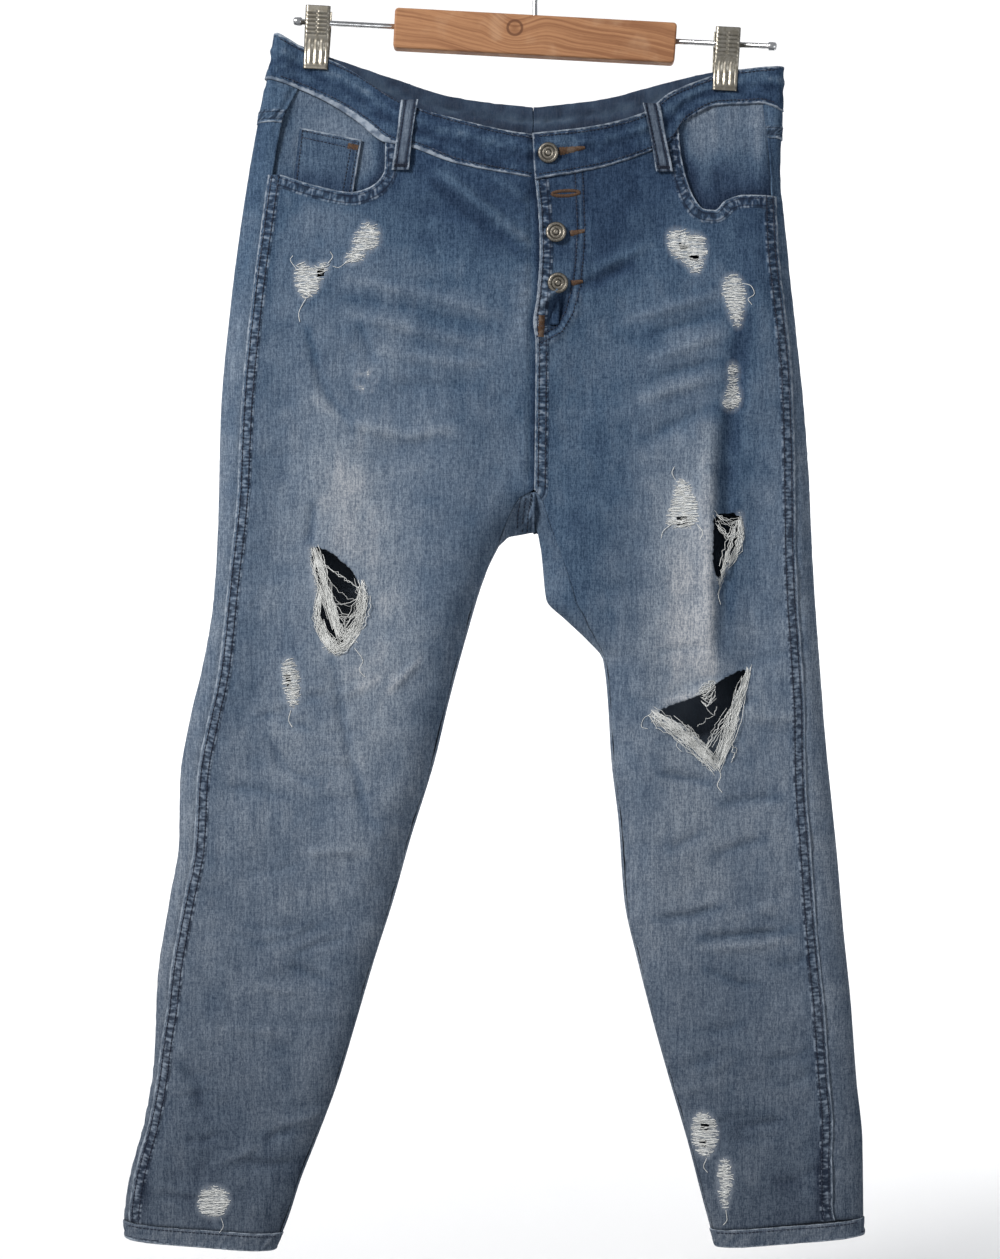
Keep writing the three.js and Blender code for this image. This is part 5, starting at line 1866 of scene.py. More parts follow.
TILT = math.radians(3)
ROD_DROP = 86.5
BAR_SIZE = (236.4, 13, 34)
HOOK_RADIUS = 22
HOOK_CENTRE = -20
WIRE_RADIUS = 2.0
JAW_WIDE = 19.6
JAW_TOP, JAW_FOOT = 12, -40.5  # heights from the rod
PLATE = 0.9
PIN_UP = -12  # height of a clip's spring pin from the rod
COIL_RADIUS = 3.1
STRAP_RADIUS = 3.4
HANGER = Matrix.Translation((0, 0, -ROD_DROP)) @ Matrix.Rotation(TILT, 4, "Y")


def build_bar():
    """Bar of the hanger, a board with eased edges and an uneven, planed face."""
    board = bmesh.new()
    bmesh.ops.create_cube(board, size=1)
    bmesh.ops.scale(board, vec=BAR_SIZE, verts=board.verts)
    upright = [e for e in board.edges if abs(e.verts[0].co.y - e.verts[1].co.y) > 1]
    bmesh.ops.bevel(board, geom=upright, offset=3.2, segments=4, profile=0.5, affect="EDGES", material=-1)
    rims = [e for e in board.edges if len({v.co.y > 0 for v in e.verts}) == 1]
    bmesh.ops.bevel(board, geom=rims, offset=1.7, segments=3, profile=0.5, affect="EDGES", material=-1)
    for vert in board.verts:
        sway = 0.5 * float(rumple(vert.co.x, vert.co.z * 0.3, 60, 111))
        vert.co.z += sway - 2.5
        if vert.co.x > 0:
            vert.co.x += 0.02 * vert.co.z
    bmesh.ops.transform(board, matrix=Matrix.Scale(MM, 4) @ HANGER, verts=board.verts)
    mesh = meshed(board, "hanger_bar")
    bar = finished(mesh, "hanger_bar", [hanger_wood()], "wood", ["hanger_bar"])
    mesh.polygons.foreach_set("use_smooth", [abs(p.area) < 4e-5 for p in mesh.polygons])
    return bar


def build_rod():
    profile = [
        (0, -203), (2.4, -203), (3.4, -202), (3.6, -200), (3.6, -197), (2.9, -196), (2.25, -195.6),
        (2.25, 195.6), (2.9, 196), (3.6, 197), (3.6, 200), (3.4, 202), (2.4, 203), (0, 203),
    ]
    lengthwise = Matrix.Rotation(math.radians(90), 4, "Y")
    mesh = turned("hanger_rod", profile, 24, HANGER @ lengthwise)
    return finished(mesh, "hanger_rod", [steel()], "steel", ["hanger_rod"])


def through(points, steps):
    """A smooth path through points (Catmull-Rom)."""
    points = np.array(points, float)
    ends = np.concatenate([[2 * points[0] - points[1]], points, [2 * points[-1] - points[-2]]])
    path = []
    for p0, p1, p2, p3 in zip(ends[:-3], ends[1:-2], ends[2:-1], ends[3:]):
        for t in np.linspace(0, 1, steps, endpoint=False):
            bend = (p2 - p0) * t + (2 * p0 - 5 * p1 + 4 * p2 - p3) * t**2 + (3 * p1 - p0 - 3 * p2 + p3) * t**3
            path.append(p1 + bend / 2)
    return np.array(path + [points[-1]])


def build_hook():
    turn = [math.radians(a) for a in range(-10, 216, 15)]
    bend = [(HOOK_RADIUS * math.cos(a), 0, HOOK_RADIUS * math.sin(a) + HOOK_CENTRE) for a in turn]
    stem = [(0, 0, -80), (0, 0, -67), (0.3, 0, -57), (3.4, 0, -51), (14.5, 0, -38)]
    hook = threads("hanger_hook", [through(stem + bend, 5)], WIRE_RADIUS, steel(), "steel", 4)
    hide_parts("hanger_hook")
    return hook


def clip_matrix(half):
    return HANGER @ Matrix.Translation((half["clip_x"] / math.cos(TILT), 0, 0))


def build_jaw(half, which):
    """A pressed jaw of a clip: ribs up its leaf, two columns of grip ridges and a rolled lip at the foot."""
    sign = -1 if which == "front" else 1
    form = [(-40.5, 5.4), (-39, 4.7), (-26, 4.7), (-17, 6.3), (-8, 7.9), (2, 8.5), (12, 8.7)]

    def place(s, t):
        across = (s - 0.5) * JAW_WIDE
        up = mix(JAW_TOP, JAW_FOOT, t)
        deep = curve(form, up)
        ribs = 0.45 * np.cos(s * 2 * np.pi * 4) * smooth((up + 37) / 3) * smooth((-15 - up) / 3)
        column = np.abs(np.abs(s - 0.5) - 0.24) < 0.19
        ridges = 0.55 * np.cos(up * 2 * np.pi / 3.4) * column * smooth((up + 13) / 2) * smooth((9 - up) / 2)
        turned_in = 1.3 * smooth((np.abs(s - 0.5) - 0.44) / 0.06)
        lip = 0.7 * hump(up, -39, 1.2)
        out = deep + ribs + ridges - turned_in + lip
        return np.stack([across, sign * out, up], axis=-1)

    name = f"clip_{half['name']}_{which}"
    leaf = bmesh.new()
    bmesh.ops.create_grid(leaf, x_segments=36, y_segments=62, size=0.5)
    flat = np.array([v.co[:2] for v in leaf.verts], float) + 0.5
    for vert, co in zip(leaf.verts, place(flat[:, 0], flat[:, 1])):
        vert.co = co
    if sign < 0:
        bmesh.ops.reverse_faces(leaf, faces=leaf.faces)
    bmesh.ops.transform(leaf, matrix=Matrix.Scale(MM, 4) @ clip_matrix(half), verts=leaf.verts)
    jaw = finished(meshed(leaf, name), name, [clip_metal()], "clip_metal", [name])
    solid = jaw.modifiers.new("plate", "SOLIDIFY")
    solid.thickness = PLATE * MM
    solid.offset = 1
    return jaw


def build_link(half):
    """The bent strip between the jaws, with its spring coiled on a pin."""
    matrix = clip_matrix(half)
    name = f"clip_{half['name']}_link"
    coil = [
        (x, COIL_RADIUS * math.cos(a), COIL_RADIUS * math.sin(a) + PIN_UP)
        for x, a in zip(np.linspace(-6.5, 6.5, 121), np.linspace(0, 20 * math.pi, 121))
    ]
    pin = [(-9.4, 0, PIN_UP), (9.4, 0, PIN_UP)]
    cheeks = []
    for x in (-8.6, 8.6):
        angles = np.radians(range(0, 181, 20))
        turn = [(STRAP_RADIUS * math.cos(a), STRAP_RADIUS * math.sin(a)) for a in angles]
        strap = [(x, deep, up) for deep, up in turn]
        strap += [(x, -deep, PIN_UP - up) for deep, up in turn]
        cheeks.append(strap + strap[:1])
    lines = [[list(matrix @ Vector(p)) for p in line] for line in [coil, pin] + cheeks]
    link = threads(name, lines, [0.55, 1.1, 0.8, 0.8], clip_metal(), "clip_metal", 2)
    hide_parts(name)
    return link


# ---------------------------------------------------------------- sewing


def topstitching(half):
    """Dark blue stitches on the front of one half."""
    side = half["name"]
    out = half["out"]
    skin = skin_over(FRONT, ["denim_front_" + side])
    lines = []
    seam = outseam_path(half)
    mouth = mouth_path(half)
    for inward in STITCH_ROWS:
        lines += stitched([(x - out * inward, d) for x, d in seam], skin)
        lines += stitched(beyond(mouth, inward * (-1 if half is RIGHT else 1)), skin)
    if half is LEFT:
        lines += stitched(J_STITCH, skin)
        lines += stitched(beyond(J_STITCH, J_ROW), skin)
        near, far = STITCH_ROWS
        lines += stitched([(x + near, d) for x, d in centre_path()], skin)
        lines += stitched([(x + far, d) for x, d in centre_path() if d > 350], skin)
    return lines


def band_stitching(half):
    """Stitches along the top and foot of the waistband, front and back."""
    name = "denim_waistband_" + half["name"]
    lines = []
    for face, top, foot in ((FRONT, "front_top", "front_seam"), (BACK, "back_top", "back_seam")):
        skin = skin_over(face, [name])
        away = np.linspace(3, abs(half["corner_x"]) - 7, 60)
        for edge, inward in ((top, 3.2), (foot, -3.4)):
            drop = curve(half[edge], away) + inward
            lines += stitched(list(zip(half["out"] * away, drop)), skin)
    return lines


def hem_stitching(half):
    """One row of stitches round a hem."""
    lines = []
    for face in (FRONT, BACK):
        skin = skin_over(face, ["denim_hem_" + half["name"]])
        share = np.linspace(0.03, 0.97, 40)
        level = mix(half["hem_inner"], half["hem_outer"], share) + 2.4
        x = mix(inner_x(half, face, level), side_x(half, level), share)
        lines += stitched(list(zip(x, level)), skin, high=0.4)
    return lines


def back_stitching(half):
    """Seat seams, yoke and patch pocket behind."""
    side = half["name"]
    lines = []
    skin = skin_over(BACK, ["denim_yoke_" + side])
    away = np.linspace(2, abs(side_x(half, half["yoke_side_drop"])) - 8, 50)
    for above in STITCH_ROWS:
        drop = curve(half["yoke_seam"], away) - above
        lines += stitched(list(zip(half["out"] * away, drop)), skin)
    if half is LEFT:
        skin = skin_over(BACK, ["denim_back_left"])
        for off in STITCH_ROWS:
            lines += stitched([(CENTRE_X + off, 222), (CENTRE_X + off, 494)], skin)
    skin = skin_over(BACK, ["denim_back_pocket_" + side])
    if half is RIGHT:
        under = skin_over(FRONT, ["denim_back_right"])
        for x in (-15, -10.5, -6.5):
            lines += stitched([(x + 3, 474), (x + 0.5, 492), (x, 508)], under)
    centre = POCKET_CENTRES[side]
    outline = pocket_outline(centre)
    for inset in (0.025, 0.085):
        foot = 1 - inset
        ways = [(inset, 0.01), (inset, foot), (0.5, 1 - inset * 0.9), (foot, foot), (foot, 0.01)]
        lines += stitched(along_outline(outline, ways), skin)
    for level in (0.03, 0.09):
        lines += stitched(along_outline(outline, [(0.1, level), (0.9, level)]), skin)
    return lines


def small_stitching():
    """Stitches on the coin pocket and the belt loops."""
    lines = []
    skin = skin_over(FRONT, ["denim_coin_pocket"])
    top = [(COIN[0][0] + 2, COIN[0][1] + 2.6), (COIN[1][0] - 2, COIN[1][1] + 2.6)]
    right = [(COIN[1][0] - 2.6, COIN[1][1] + 2), (COIN[3][0] - 2.6, COIN[3][1] - 4)]
    left = [(COIN[0][0] + 2.6, COIN[0][1] + 2), (COIN[2][0] + 2.6, COIN[2][1] - 4)]
    lines += stitched(top, skin) + stitched([(x, d + 6) for x, d in top], skin)
    lines += stitched(right, skin) + stitched([(x - 5.5, d) for x, d in right], skin) + stitched(left, skin)
    for name, (_, face, start, end) in LOOPS.items():
        skin = skin_over(face, ["denim_" + name])
        for off in (-4.1, 4.1):
            lines += stitched([(start[0] + off, start[1] + 3), (end[0] + off, end[1] - 3)], skin, high=0.35)
        for back in (3.0, 4.0, 5.0):
            lean = mix(end[0], start[0], back / (end[1] - start[1]))
            row = [(lean - 5.6, end[1] - back), (lean + 5.6, end[1] - back)]
            lines += stitched(row, skin, 1.3, 1.1, 0.5)
    return lines


def satin(path, half_width, skin, pitch, seed):
    """Dense stitches across a path, as on a buttonhole or a bartack.

    half_width is one number or (start, end).
    """
    random = np.random.default_rng(seed)
    points, along = spaced(path, pitch)
    run = np.gradient(points, axis=0)
    run /= np.maximum(np.linalg.norm(run, axis=1, keepdims=True), 1e-9)
    across = np.stack([run[:, 1], -run[:, 0]], axis=1)
    wide = half_width if np.ndim(half_width) else (half_width, half_width)
    wide = np.interp(along, (0, max(along[-1], 1e-6)), wide) * random.uniform(0.82, 1.12, len(points))
    lines = []
    for centre, way, reach in zip(points, across, wide):
        steps = np.array([-1, -0.55, 0.0, 0.55, 1])
        at = centre + steps[:, None] * way * reach
        placed = skin(at[:, 0], at[:, 1], np.array([-0.2, 0.5, 0.7, 0.5, -0.2]))
        if not np.isnan(placed).any():
            lines.append(placed)
    return lines


def ring_path(centre, long, wide, lean, steps=28):
    """A long rounded ring round a slit, as (x, drop)."""
    turn = np.linspace(0, 2 * np.pi, steps)
    x, d = np.cos(turn) * long / 2, np.sin(turn) * wide / 2
    c, s = math.cos(lean), math.sin(lean)
    return [(centre[0] + a * c - b * s, centre[1] + a * s + b * c) for a, b in zip(x, d)]


def build_buttonholes():
    """Brown buttonholes and bartacks."""
    front = ["denim_front_left", "denim_waistband_left", "denim_coin_pocket", "denim_front_right"]
    skin = skin_over(FRONT, front)
    lines = satin([(20, 190.5), (41, 187)], (3.4, 1.2), skin, 0.7, 2)
    lines += satin([(29, 258.5), (41, 256)], (2.6, 1.2), skin, 0.7, 3)
    lines += satin([(30, 300), (39, 298)], (2.4, 1.2), skin, 0.7, 4)
    lines += satin(ring_path((25, 225), 23, 4.2, -0.06), 1.2, skin, 0.7, 5)
    lines += satin([(5.2, 327), (4.2, 345)], 2.6, skin, 0.7, 6)
    lines += satin([(-156, 183), (-147.5, 185)], 2.4, skin, 0.75, 7)
    return threads("brown_stitching", lines, 0.36, brown_thread(), "stitching")


# ---------------------------------------------------------------- fraying


def strand(skin, start, via, end, out, random, wander, count=14):
    """One loose thread along a bent line of (x, drop), standing out of the skin by out in its middle."""
    t = np.linspace(0, 1, count)[:, None]
    start, via, end = (np.array(p, float) for p in (start, via, end))
    bend = start * (1 - t) ** 2 + 2 * via * t * (1 - t) + end * t**2
    phase, wave = random.uniform(0, 2 * np.pi, 2), random.uniform(5, 11, 2)
    long = np.linalg.norm(end - start) + 1
    sway = np.stack([np.sin(t[:, 0] * long / w * 2 * np.pi + p) for w, p in zip(wave, phase)], axis=1)
    bend = bend + wander * sway * np.sin(np.pi * np.clip(t * 1.1, 0, 1))
    rise = 0.25 + (out - 0.25) * np.sin(np.pi * t[:, 0])
    return skin(bend[:, 0], bend[:, 1], rise)


def bundle(skin, points, spread, count, seed):
    """Loose threads that run together from the first point past the second to the third."""
    random = np.random.default_rng(seed)
    lines = []
    for _ in range(round(count * 0.38)):
        share = random.normal(0, 0.8, 2) * spread
        moved = [
            np.array(p) + share * f + random.normal(0, 0.5, 2) * spread
            for p, f in zip(points, (0.6, 1.4, 0.6))
        ]
        trim = random.uniform(0, 0.45, 2) ** 1.6
        start, end = mix(moved[0], moved[1], trim[0]), mix(moved[2], moved[1], trim[1])
        lines.append(strand(skin, start, moved[1], end, random.uniform(0.4, 2.2), random, 1.3))
    return lines


# Bundles of loose threads: first, middle and last point as (x, drop), spread and count.
THIGH_BUNDLES = [
    (((-183, 519), (-172, 554), (-162, 594)), 2.8, 70),
    (((-184, 526), (-178, 548), (-166, 585)), 2.4, 26),
    (((-177, 550), (-187, 588), (-167, 604)), 2.2, 50),
    (((-179, 578), (-167, 620), (-150, 589)), 2.8, 56),
    (((-174, 590), (-160, 610), (-150, 580)), 2.6, 34),
    (((-146, 546), (-140, 562), (-150, 592)), 2.4, 44),
    (((-143, 556), (-149, 578), (-164, 592)), 3.0, 22),
    (((-150, 592), (-142, 578), (-141, 556)), 2.4, 20),
    (((-182, 528), (-162, 542), (-147, 552)), 2.4, 6),
    (((-180, 538), (-163, 572), (-144, 560)), 3.0, 8),
    (((-176, 552), (-158, 586), (-145, 570)), 3.2, 10),
    (((-172, 562), (-160, 590), (-152, 598)), 3.4, 20),
]
SIDE_BUNDLES = [
    (((148, 491), (158, 503), (170, 497)), 2.0, 16),
    (((150, 499), (160, 517), (169, 505)), 2.2, 14),
    (((170, 494), (173, 516), (160, 534)), 2.0, 44),
    (((166, 498), (160, 520), (154, 540)), 2.4, 22),
    (((158, 522), (154, 540), (152, 548)), 2.2, 18),
    (((158, 528), (154, 544), (151, 557)), 1.0, 4),
]
KNEE_BUNDLES = [
    (((97, 655), (122, 672), (149, 702)), 3.2, 74),
    (((108, 660), (130, 676), (150, 700)), 3.2, 40),
    (((124, 668), (138, 690), (151, 702)), 4.2, 44),
    (((177, 619), (167, 650), (151, 698)), 2.6, 54),
    (((170, 636), (164, 668), (152, 702)), 3.6, 56),
    (((166, 648), (150, 676), (142, 690)), 3.4, 18),
    (((99, 656), (93, 664), (112, 670)), 2.4, 22),
    (((136, 640), (142, 636), (148, 631)), 1.8, 30),
    (((137, 645), (143, 652), (148, 640)), 2.8, 20),
    (((133, 668), (141, 660), (148, 658)), 0.8, 3),
    (((160, 676), (168, 690), (162, 696)), 2.4, 6),
]
# Single threads that hang or curl out of worn places: points of (x, drop).
TAILS = [
    [(-190, 313), (-193, 318), (-196, 325), (-195, 332)],
    [(-198, 288), (-203, 281), (-201, 277)],
    [(-172, 284), (-168, 278), (-170, 274)],
    [(-157, 283), (-163, 287), (-168, 286)],
    [(171, 300), (178, 302), (181, 309), (176, 313), (179, 318)],
    [(116, 463), (113, 457), (115, 452)],
    [(112, 500), (106, 505), (104, 511)],
    [(134, 500), (138, 506), (136, 512)],
    [(151, 545), (153, 552), (151, 560), (153, 566)],
    [(-203, 654), (-205, 662), (-202, 668)],
    [(-262, 1077), (-260, 1084), (-263, 1089)],
    [(143, 1028), (141, 1035), (144, 1040)],
    [(159, 1071), (160, 1079), (157, 1084)],
    [(-150, 602), (-143, 612), (-146, 620), (-141, 626)],
    [(150, 700), (154, 708), (151, 716), (155, 722)],
    [(120, 676), (117, 683), (121, 688)],
    [(96, 657), (90, 660), (88, 667), (93, 669)],
]


def bared_weft(skin, outline, seed):
    """White weft threads left across a place where the blue warp has worn away."""
    random = np.random.default_rng(seed)
    points = np.array(softened(outline, 1))
    closed = np.concatenate([points, points[:1]])
    lines = []
    for drop in np.arange(points[:, 1].min() + 0.6, points[:, 1].max() - 0.4, 0.62):
        crossings = []
        for (ax, ad), (bx, bd) in zip(closed[:-1], closed[1:]):
            if (ad > drop) != (bd > drop):
                crossings.append((bx - ax) * (drop - ad) / (bd - ad) + ax)
        crossings.sort()
        for low, high in zip(crossings[::2], crossings[1::2]):
            parts = 1 if high - low < 7 else 2
            for k in range(parts):
                a = mix(low, high, k / parts) - random.uniform(-0.6, 2.0)
                b = mix(low, high, (k + 1) / parts) + random.uniform(-0.6, 2.0)
                if random.random() < 0.5:
                    continue
                sag = random.normal(0, 0.9, 3)
                lines.append(
                    strand(
                        skin,
                        (a, drop + sag[0]),
                        ((a + b) / 2, drop + sag[1] * 1.4),
                        (b, drop + sag[2]),
                        random.uniform(0.3, 0.9),
                        random,
                        0.25,
                        7,
                    )
                )
    return lines


def build_fraying():
    """Loose white threads of the rips and the bared places, a piece for each rip and one for the rest."""
    cotton = frayed_cotton()
    for name, side, bundles, seed in (
        ("fraying_thigh", RIGHT, THIGH_BUNDLES, 300),
        ("fraying_side", LEFT, SIDE_BUNDLES, 400),
        ("fraying_knee", LEFT, KNEE_BUNDLES, 500),
    ):
        skin = skin_over(FRONT, ["denim_front_" + side["name"]], side)
        lines = []
        for k, (points, spread, count) in enumerate(bundles):
            lines += bundle(skin, points, spread, count, seed + k)
        random = np.random.default_rng(seed + 90)
        threads(name, lines, random.uniform(0.15, 0.29, len(lines)), cotton, "frayed_cotton")
    for side in HALVES:
        skin = skin_over(FRONT, ["denim_front_" + side["name"]], side)
        lines = []
        for k, outline in enumerate(BARED):
            if outline[0][0] * side["out"] > 0:
                lines += bared_weft(skin, outline, 600 + k)
        for k, tail in enumerate(TAILS):
            if tail[0][0] * side["out"] > 0:
                path = through(np.array(tail, float), 5)
                lines.append(skin(path[:, 0], path[:, 1], 0.5 + 0.5 * np.sin(np.arange(len(path)) * 0.5 + k)))
        random = np.random.default_rng(700)
        name = "bared_weft_" + side["name"]
        threads(name, lines, random.uniform(0.18, 0.32, len(lines)), cotton, "frayed_cotton")


# ---------------------------------------------------------------- stage


# In metres.
FLOOR_Z = -1.35
WALL_Y = 3.2
SWEEP_RADIUS = 0.45
PAPER_WIDE = 9
FLOOR_LONG = 6.0  # for the whole length of the paper, of which the bend takes BEND_SHARE after BEND_FROM
WALL_HIGH = 9.0
BEND_FROM, BEND_SHARE = 0.45, 0.2
CAMERA = (-0.0294, -1.8, -0.5867)
LENS = 61.27


def build_sweep():
    """White paper that comes down a wall and out over the floor in one bend."""
    paper = bmesh.new()
    bmesh.ops.create_grid(paper, x_segments=1, y_segments=48, size=0.5)
    for vert in paper.verts:
        t = vert.co.y + 0.5
        bend = np.clip((t - BEND_FROM) / BEND_SHARE, 0, 1)
        turn = bend * np.pi / 2
        floor, wall = FLOOR_LONG * max(0.0, BEND_FROM - t), WALL_HIGH * max(0.0, t - BEND_FROM - BEND_SHARE)
        out = WALL_Y - SWEEP_RADIUS + SWEEP_RADIUS * math.sin(turn) - floor
        up = FLOOR_Z + SWEEP_RADIUS * (1 - math.cos(turn)) + wall
        vert.co = (vert.co.x * PAPER_WIDE, out, up)
    bmesh.ops.recalc_face_normals(paper, faces=paper.faces)
    mesh = meshed(paper, "paper_sweep")
    mesh.materials.append(studio_paper())
    mesh.polygons.foreach_set("use_smooth", np.ones(len(mesh.polygons), bool))
    sweep = bpy.data.objects.new("paper_sweep", mesh)
    bpy.context.scene.collection.objects.link(sweep)
    sweep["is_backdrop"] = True


def add_light(name, place, aim, size, power, colour):
    """A round soft lamp aimed at a point."""
    light = bpy.data.lights.new(name, "AREA")
    light.shape = "DISK"
    light.size = size
    light.energy = power
    light.color = colour
    lamp = bpy.data.objects.new(name, light)
    lamp.location = place
    lamp.rotation_euler = (Vector(aim) - Vector(place)).to_track_quat("-Z", "Y").to_euler()
    bpy.context.scene.collection.objects.link(lamp)


# ---------------------------------------------------------------- settings


def count_of(name, about, default, low, high):
    return IntProperty(name=name, description=about, default=default, min=low, max=high)


def power(name, about, default):
    return FloatProperty(name=name, description=about, default=default, min=0, unit="POWER")


def tint(name, about, default):
    return FloatVectorProperty(name=name, description=about, default=default, subtype="COLOR", min=0, max=1)


def srgb(red, green, blue):
    return tuple(float(c) for c in to_linear(np.array((red, green, blue)) / 255))


class JeansSizes(bpy.types.PropertyGroup):
    """How finely the cloth is divided."""

    front_columns: count_of("Front Columns", "Divisions across a front leg", 84, 30, 110)
    front_rows: count_of("Front Rows", "Divisions down a front leg", 380, 120, 480)
    back_columns: count_of("Back Columns", "Divisions across a back leg", 68, 26, 110)
    back_rows: count_of("Back Rows", "Divisions down a back leg", 240, 120, 400)


class JeansColours(bpy.types.PropertyGroup):
    """Colours of the denim from unwashed to washed out, and of its threads."""

    wash_deep: tint("Deepest Indigo", "Denim hidden from wear", srgb(24, 42, 66))
    wash_dark: tint("Dark Indigo", "Denim of the waistband", srgb(42, 62, 87))
    wash_mid: tint("Middle Blue", "Denim of the upper legs", srgb(65, 86, 109))
    wash_worn: tint("Worn Blue", "Denim of the thighs", srgb(91, 107, 126))
    wash_faded: tint("Faded Blue", "Denim where it is rubbed most", srgb(119, 131, 145))
    wash_pale: tint("Palest Blue", "Denim nearly washed white", srgb(158, 163, 170))
    worn_edge: tint("Worn Edge", "Folded and stitched edges rubbed to the weft", srgb(150, 160, 172))
    cotton: tint("Bared Cotton", "Bared and frayed weft threads", (0.76, 0.77, 0.75))
    indigo_thread: tint("Indigo Thread", "Topstitching", srgb(36, 44, 62))
    brown_thread: tint("Brown Thread", "Buttonholes and bartacks", srgb(100, 74, 54))


class HangerLooks(bpy.types.PropertyGroup):
    """Colours of the wooden bar and the power of the lamps."""

    wood: tint("Wood", "Light bands of the wooden bar", srgb(166, 120, 84))
    wood_grain: tint("Wood Grain", "Dark bands of the wooden bar", srgb(134, 90, 60))
    key_power: power("Key Power", "Power of the large lamp", 98)
    fill_power: power("Fill Power", "Power of the fill lamp", 15)
    wall_power: power("Wall Power", "Power of each lamp on the paper", 36)


# ---------------------------------------------------------------- operators


class JEANS_OT_stage(bpy.types.Operator):
    """Set the paper sweep, the lamps and the camera"""

    bl_idname = "jeans.stage"
    bl_label = "Stage"

    def execute(self, context):
        looks = context.scene.hanger_looks
        build_sweep()
        world = bpy.data.worlds.new("soft room")
        world.use_nodes = True
        world.node_tree.nodes["Background"].inputs["Color"].default_value = (0.92, 0.95, 1.0, 1)
        world.node_tree.nodes["Background"].inputs["Strength"].default_value = 0.37
        context.scene.world = world
        add_light("key", (-1.9, -1.9, 0.9), (0, 0, -0.55), 0.8, looks.key_power, (1.0, 0.98, 0.96))
        add_light("fill", (1.9, -2.0, -0.9), (0, 0, -0.6), 1.4, looks.fill_power, (0.96, 0.98, 1.0))
        for side in (-1, 1):
            place, aim = (side * 2.2, 1.5, -0.4), (side * 0.7, WALL_Y, -0.6)
            add_light("wall", place, aim, 1.2, looks.wall_power, (1, 1, 1))
        context.scene.view_settings.view_transform = "Standard"
        data = bpy.data.cameras.new("camera")
        data.sensor_width = 36
        data.lens = LENS
        camera = bpy.data.objects.new("camera", data)
        camera.location = CAMERA
        camera.rotation_euler = (math.radians(90), 0, 0)
        context.scene.collection.objects.link(camera)
        context.scene.camera = camera
        return {"FINISHED"}


class JEANS_OT_fronts(bpy.types.Operator):
    """Lay the two front legs with their rips"""

    bl_idname = "jeans.fronts"
    bl_label = "Front Legs"

    def execute(self, context):
        for half in HALVES:
            build_front(half)
        return {"FINISHED"}


class JEANS_OT_backs(bpy.types.Operator):
    """Lay the two back legs round the sides"""

    bl_idname = "jeans.backs"
    bl_label = "Back Legs"

    def execute(self, context):
        for half in HALVES:
            build_back(half)
        return {"FINISHED"}


class JEANS_OT_yokes(bpy.types.Operator):
    """Lay the yokes under the waistband behind"""

    bl_idname = "jeans.yokes"
    bl_label = "Yokes"

    def execute(self, context):
        for half in HALVES:
            build_yoke(half)
        return {"FINISHED"}


class JEANS_OT_waistband(bpy.types.Operator):
    """Wrap the two halves of the waistband"""

    bl_idname = "jeans.waistband"
    bl_label = "Waistband"

    def execute(self, context):
        for half in HALVES:
            build_waistband(half)
        return {"FINISHED"}


class JEANS_OT_hems(bpy.types.Operator):
    """Turn up the two hems"""

    bl_idname = "jeans.hems"
    bl_label = "Hems"

    def execute(self, context):
        for half in HALVES:
            build_hem(half)
        return {"FINISHED"}


class JEANS_OT_front_pockets(bpy.types.Operator):
    """Fill the pocket mouths with their facings and the coin pocket"""

    bl_idname = "jeans.front_pockets"
    bl_label = "Front Pockets"

    def execute(self, context):
        build_facing(RIGHT, -116, 244, 3.5)
        build_facing(LEFT, 113, 250, 2.0)
        build_coin_pocket()
        return {"FINISHED"}


class JEANS_OT_back_pockets(bpy.types.Operator):
    """Lay the patch pockets on the seat"""

    bl_idname = "jeans.back_pockets"
    bl_label = "Back Pockets"

    def execute(self, context):
        for half in HALVES:
            build_back_pocket(half, POCKET_CENTRES[half["name"]])
        return {"FINISHED"}


class JEANS_OT_belt_loops(bpy.types.Operator):
    """Stand the five belt loops on the waistband"""

    bl_idname = "jeans.belt_loops"
    bl_label = "Belt Loops"

    def execute(self, context):
        for name in LOOPS:
            build_loop(name)
        return {"FINISHED"}


class JEANS_OT_fly(bpy.types.Operator):
    """Lay the fly underlap and set its buttons"""

    bl_idname = "jeans.fly"
    bl_label = "Fly"

    def execute(self, context):
        build_underlap()
        for name in BUTTONS:
            build_button(name)
        return {"FINISHED"}


class JEANS_OT_sewing(bpy.types.Operator):
    """Sew the topstitching, the buttonholes and the bartacks"""

    bl_idname = "jeans.sewing"
    bl_label = "Sewing"

    def execute(self, context):
        thread = indigo_thread()
        for half in HALVES:
            for sew in (topstitching, band_stitching, hem_stitching, back_stitching):
                threads(f"{sew.__name__}_{half['name']}", sew(half), STITCH_RADIUS, thread, "stitching")
        threads("small_stitching", small_stitching(), 0.40, thread, "stitching")
        build_buttonholes()
        return {"FINISHED"}


class JEANS_OT_fraying(bpy.types.Operator):
    """Pull the loose white threads out of the rips and worn places"""

    bl_idname = "jeans.fraying"
    bl_label = "Fraying"

    def execute(self, context):
        build_fraying()
        return {"FINISHED"}


class JEANS_OT_hanger_bar(bpy.types.Operator):
    """Shape the wooden bar"""

    bl_idname = "jeans.hanger_bar"
    bl_label = "Hanger Bar"

    def execute(self, context):
        build_bar()
        return {"FINISHED"}


class JEANS_OT_hanger_wire(bpy.types.Operator):
    """Bend the hook and turn the rod"""

    bl_idname = "jeans.hanger_wire"
    bl_label = "Hook and Rod"

    def execute(self, context):
        build_rod()
        build_hook()
        return {"FINISHED"}


class JEANS_OT_clips(bpy.types.Operator):
    """Press the jaws of the two clips and coil their springs"""

    bl_idname = "jeans.clips"
    bl_label = "Clips"

    def execute(self, context):
        for half in HALVES:
            for which in JAWS:
                build_jaw(half, which)
            build_link(half)
        return {"FINISHED"}


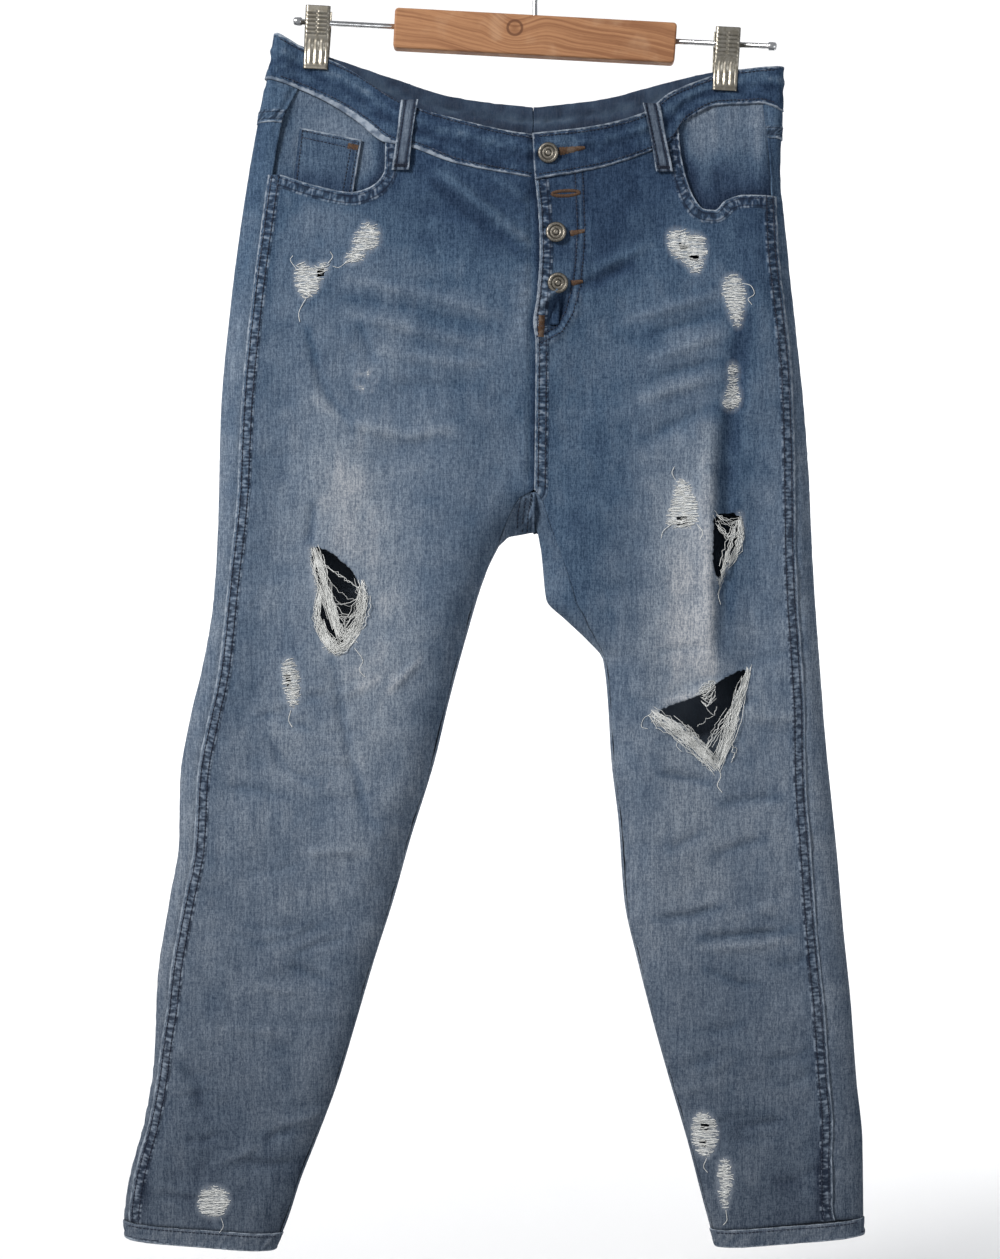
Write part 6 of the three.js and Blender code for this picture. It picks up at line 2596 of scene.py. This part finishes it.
OPERATORS = (
    JEANS_OT_stage,
    JEANS_OT_fronts,
    JEANS_OT_backs,
    JEANS_OT_yokes,
    JEANS_OT_waistband,
    JEANS_OT_hems,
    JEANS_OT_front_pockets,
    JEANS_OT_back_pockets,
    JEANS_OT_belt_loops,
    JEANS_OT_fly,
    JEANS_OT_sewing,
    JEANS_OT_fraying,
    JEANS_OT_hanger_bar,
    JEANS_OT_hanger_wire,
    JEANS_OT_clips,
)


class JEANS_PT_build(bpy.types.Panel):
    """Lists the steps that build the jeans"""

    bl_label = "Ripped Jeans"
    bl_idname = "JEANS_PT_build"
    bl_space_type = "VIEW_3D"
    bl_region_type = "UI"
    bl_category = "Jeans"

    def draw(self, context):
        for group in (context.scene.jeans_sizes, context.scene.jeans_colours, context.scene.hanger_looks):
            box = self.layout.box()
            for name in type(group).__annotations__:
                box.prop(group, name)
        for operator in OPERATORS:
            self.layout.operator(operator.bl_idname)


GROUPS = {"jeans_sizes": JeansSizes, "jeans_colours": JeansColours, "hanger_looks": HangerLooks}
CLASSES = tuple(GROUPS.values()) + OPERATORS + (JEANS_PT_build,)


def register():
    for cls in CLASSES:
        bpy.utils.register_class(cls)
    for name, group in GROUPS.items():
        setattr(bpy.types.Scene, name, PointerProperty(type=group))


def unregister():
    for name in GROUPS:
        delattr(bpy.types.Scene, name)
    for cls in reversed(CLASSES):
        bpy.utils.unregister_class(cls)


CLIP_JAWS = {side: [f"fine_clip_{side}_{which}" for which in JAWS] for side in ("right", "left")}
BAND_RIGHT, BAND_LEFT = ["denim_waistband_right"], ["denim_waistband_left"]
SEWN_RIGHT = ["topstitching_right", "fraying_thigh", "bared_weft_right"]
SEWN_LEFT = ["topstitching_left", "fraying_side", "fraying_knee", "bared_weft_left", "brown_stitching"]
# Each cloth piece: cut width, cut length and cut area in metres, what it hangs from and what is sewn on it.
SHEETS = {
    "front_right": (0.245, 0.945, 0.172, BAND_RIGHT, SEWN_RIGHT),
    "front_left": (0.235, 0.930, 0.149, BAND_LEFT, SEWN_LEFT),
    "back_right": (0.300, 0.935, 0.222, ["denim_yoke_right"], ["back_stitching_right"]),
    "back_left": (0.285, 0.920, 0.209, ["denim_yoke_left"], ["back_stitching_left"]),
    "yoke_right": (0.250, 0.092, 0.0155, BAND_RIGHT, []),
    "yoke_left": (0.235, 0.075, 0.0123, BAND_LEFT, []),
    "waistband_right": (0.440, 0.038, None, CLIP_JAWS["right"], ["band_stitching_right"]),
    "waistband_left": (0.420, 0.036, None, CLIP_JAWS["left"], ["band_stitching_left"]),
    "hem_right": (0.272, 0.015, None, ["denim_front_right", "denim_back_right"], ["hem_stitching_right"]),
    "hem_left": (0.262, 0.015, None, ["denim_front_left", "denim_back_left"], ["hem_stitching_left"]),
    "pocket_facing_right": (0.094, 0.120, 0.0101, BAND_RIGHT, []),
    "pocket_facing_left": (0.092, 0.105, 0.0088, BAND_LEFT, []),
    "coin_pocket": (0.053, 0.059, None, ["denim_pocket_facing_right"], ["small_stitching"]),
    "back_pocket_right": (0.132, 0.156, 0.0181, ["denim_back_right"], []),
    "back_pocket_left": (0.132, 0.156, 0.0181, ["denim_back_left"], []),
    "fly_underlap": (0.046, 0.118, None, BAND_LEFT, []),
    "belt_loop_front_right": (0.0135, 0.062, None, BAND_RIGHT, []),
    "belt_loop_front_left": (0.0135, 0.061, None, BAND_LEFT, []),
    "belt_loop_back_right": (0.0135, 0.054, None, BAND_RIGHT, []),
    "belt_loop_back_left": (0.0135, 0.053, None, BAND_LEFT, []),
    "belt_loop_back_centre": (0.0135, 0.055, None, BAND_LEFT, []),
}


def declare_sheets():
    """Says how each cloth piece was cut and what holds it."""
    for name, (width, length, area, above, sewn) in SHEETS.items():
        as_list(above)
        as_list(sewn)


def main():
    register()
    for operator in OPERATORS:
        group, name = operator.bl_idname.split(".")
        getattr(getattr(bpy.ops, group), name)()
    declare_sheets()
    finished_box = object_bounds()
    boxes = {"cad": cad_box, "finished": finished_box}
    {key: [list(corner) for corner in box] for key, box in boxes.items()}


if __name__ == "__main__":
    main()
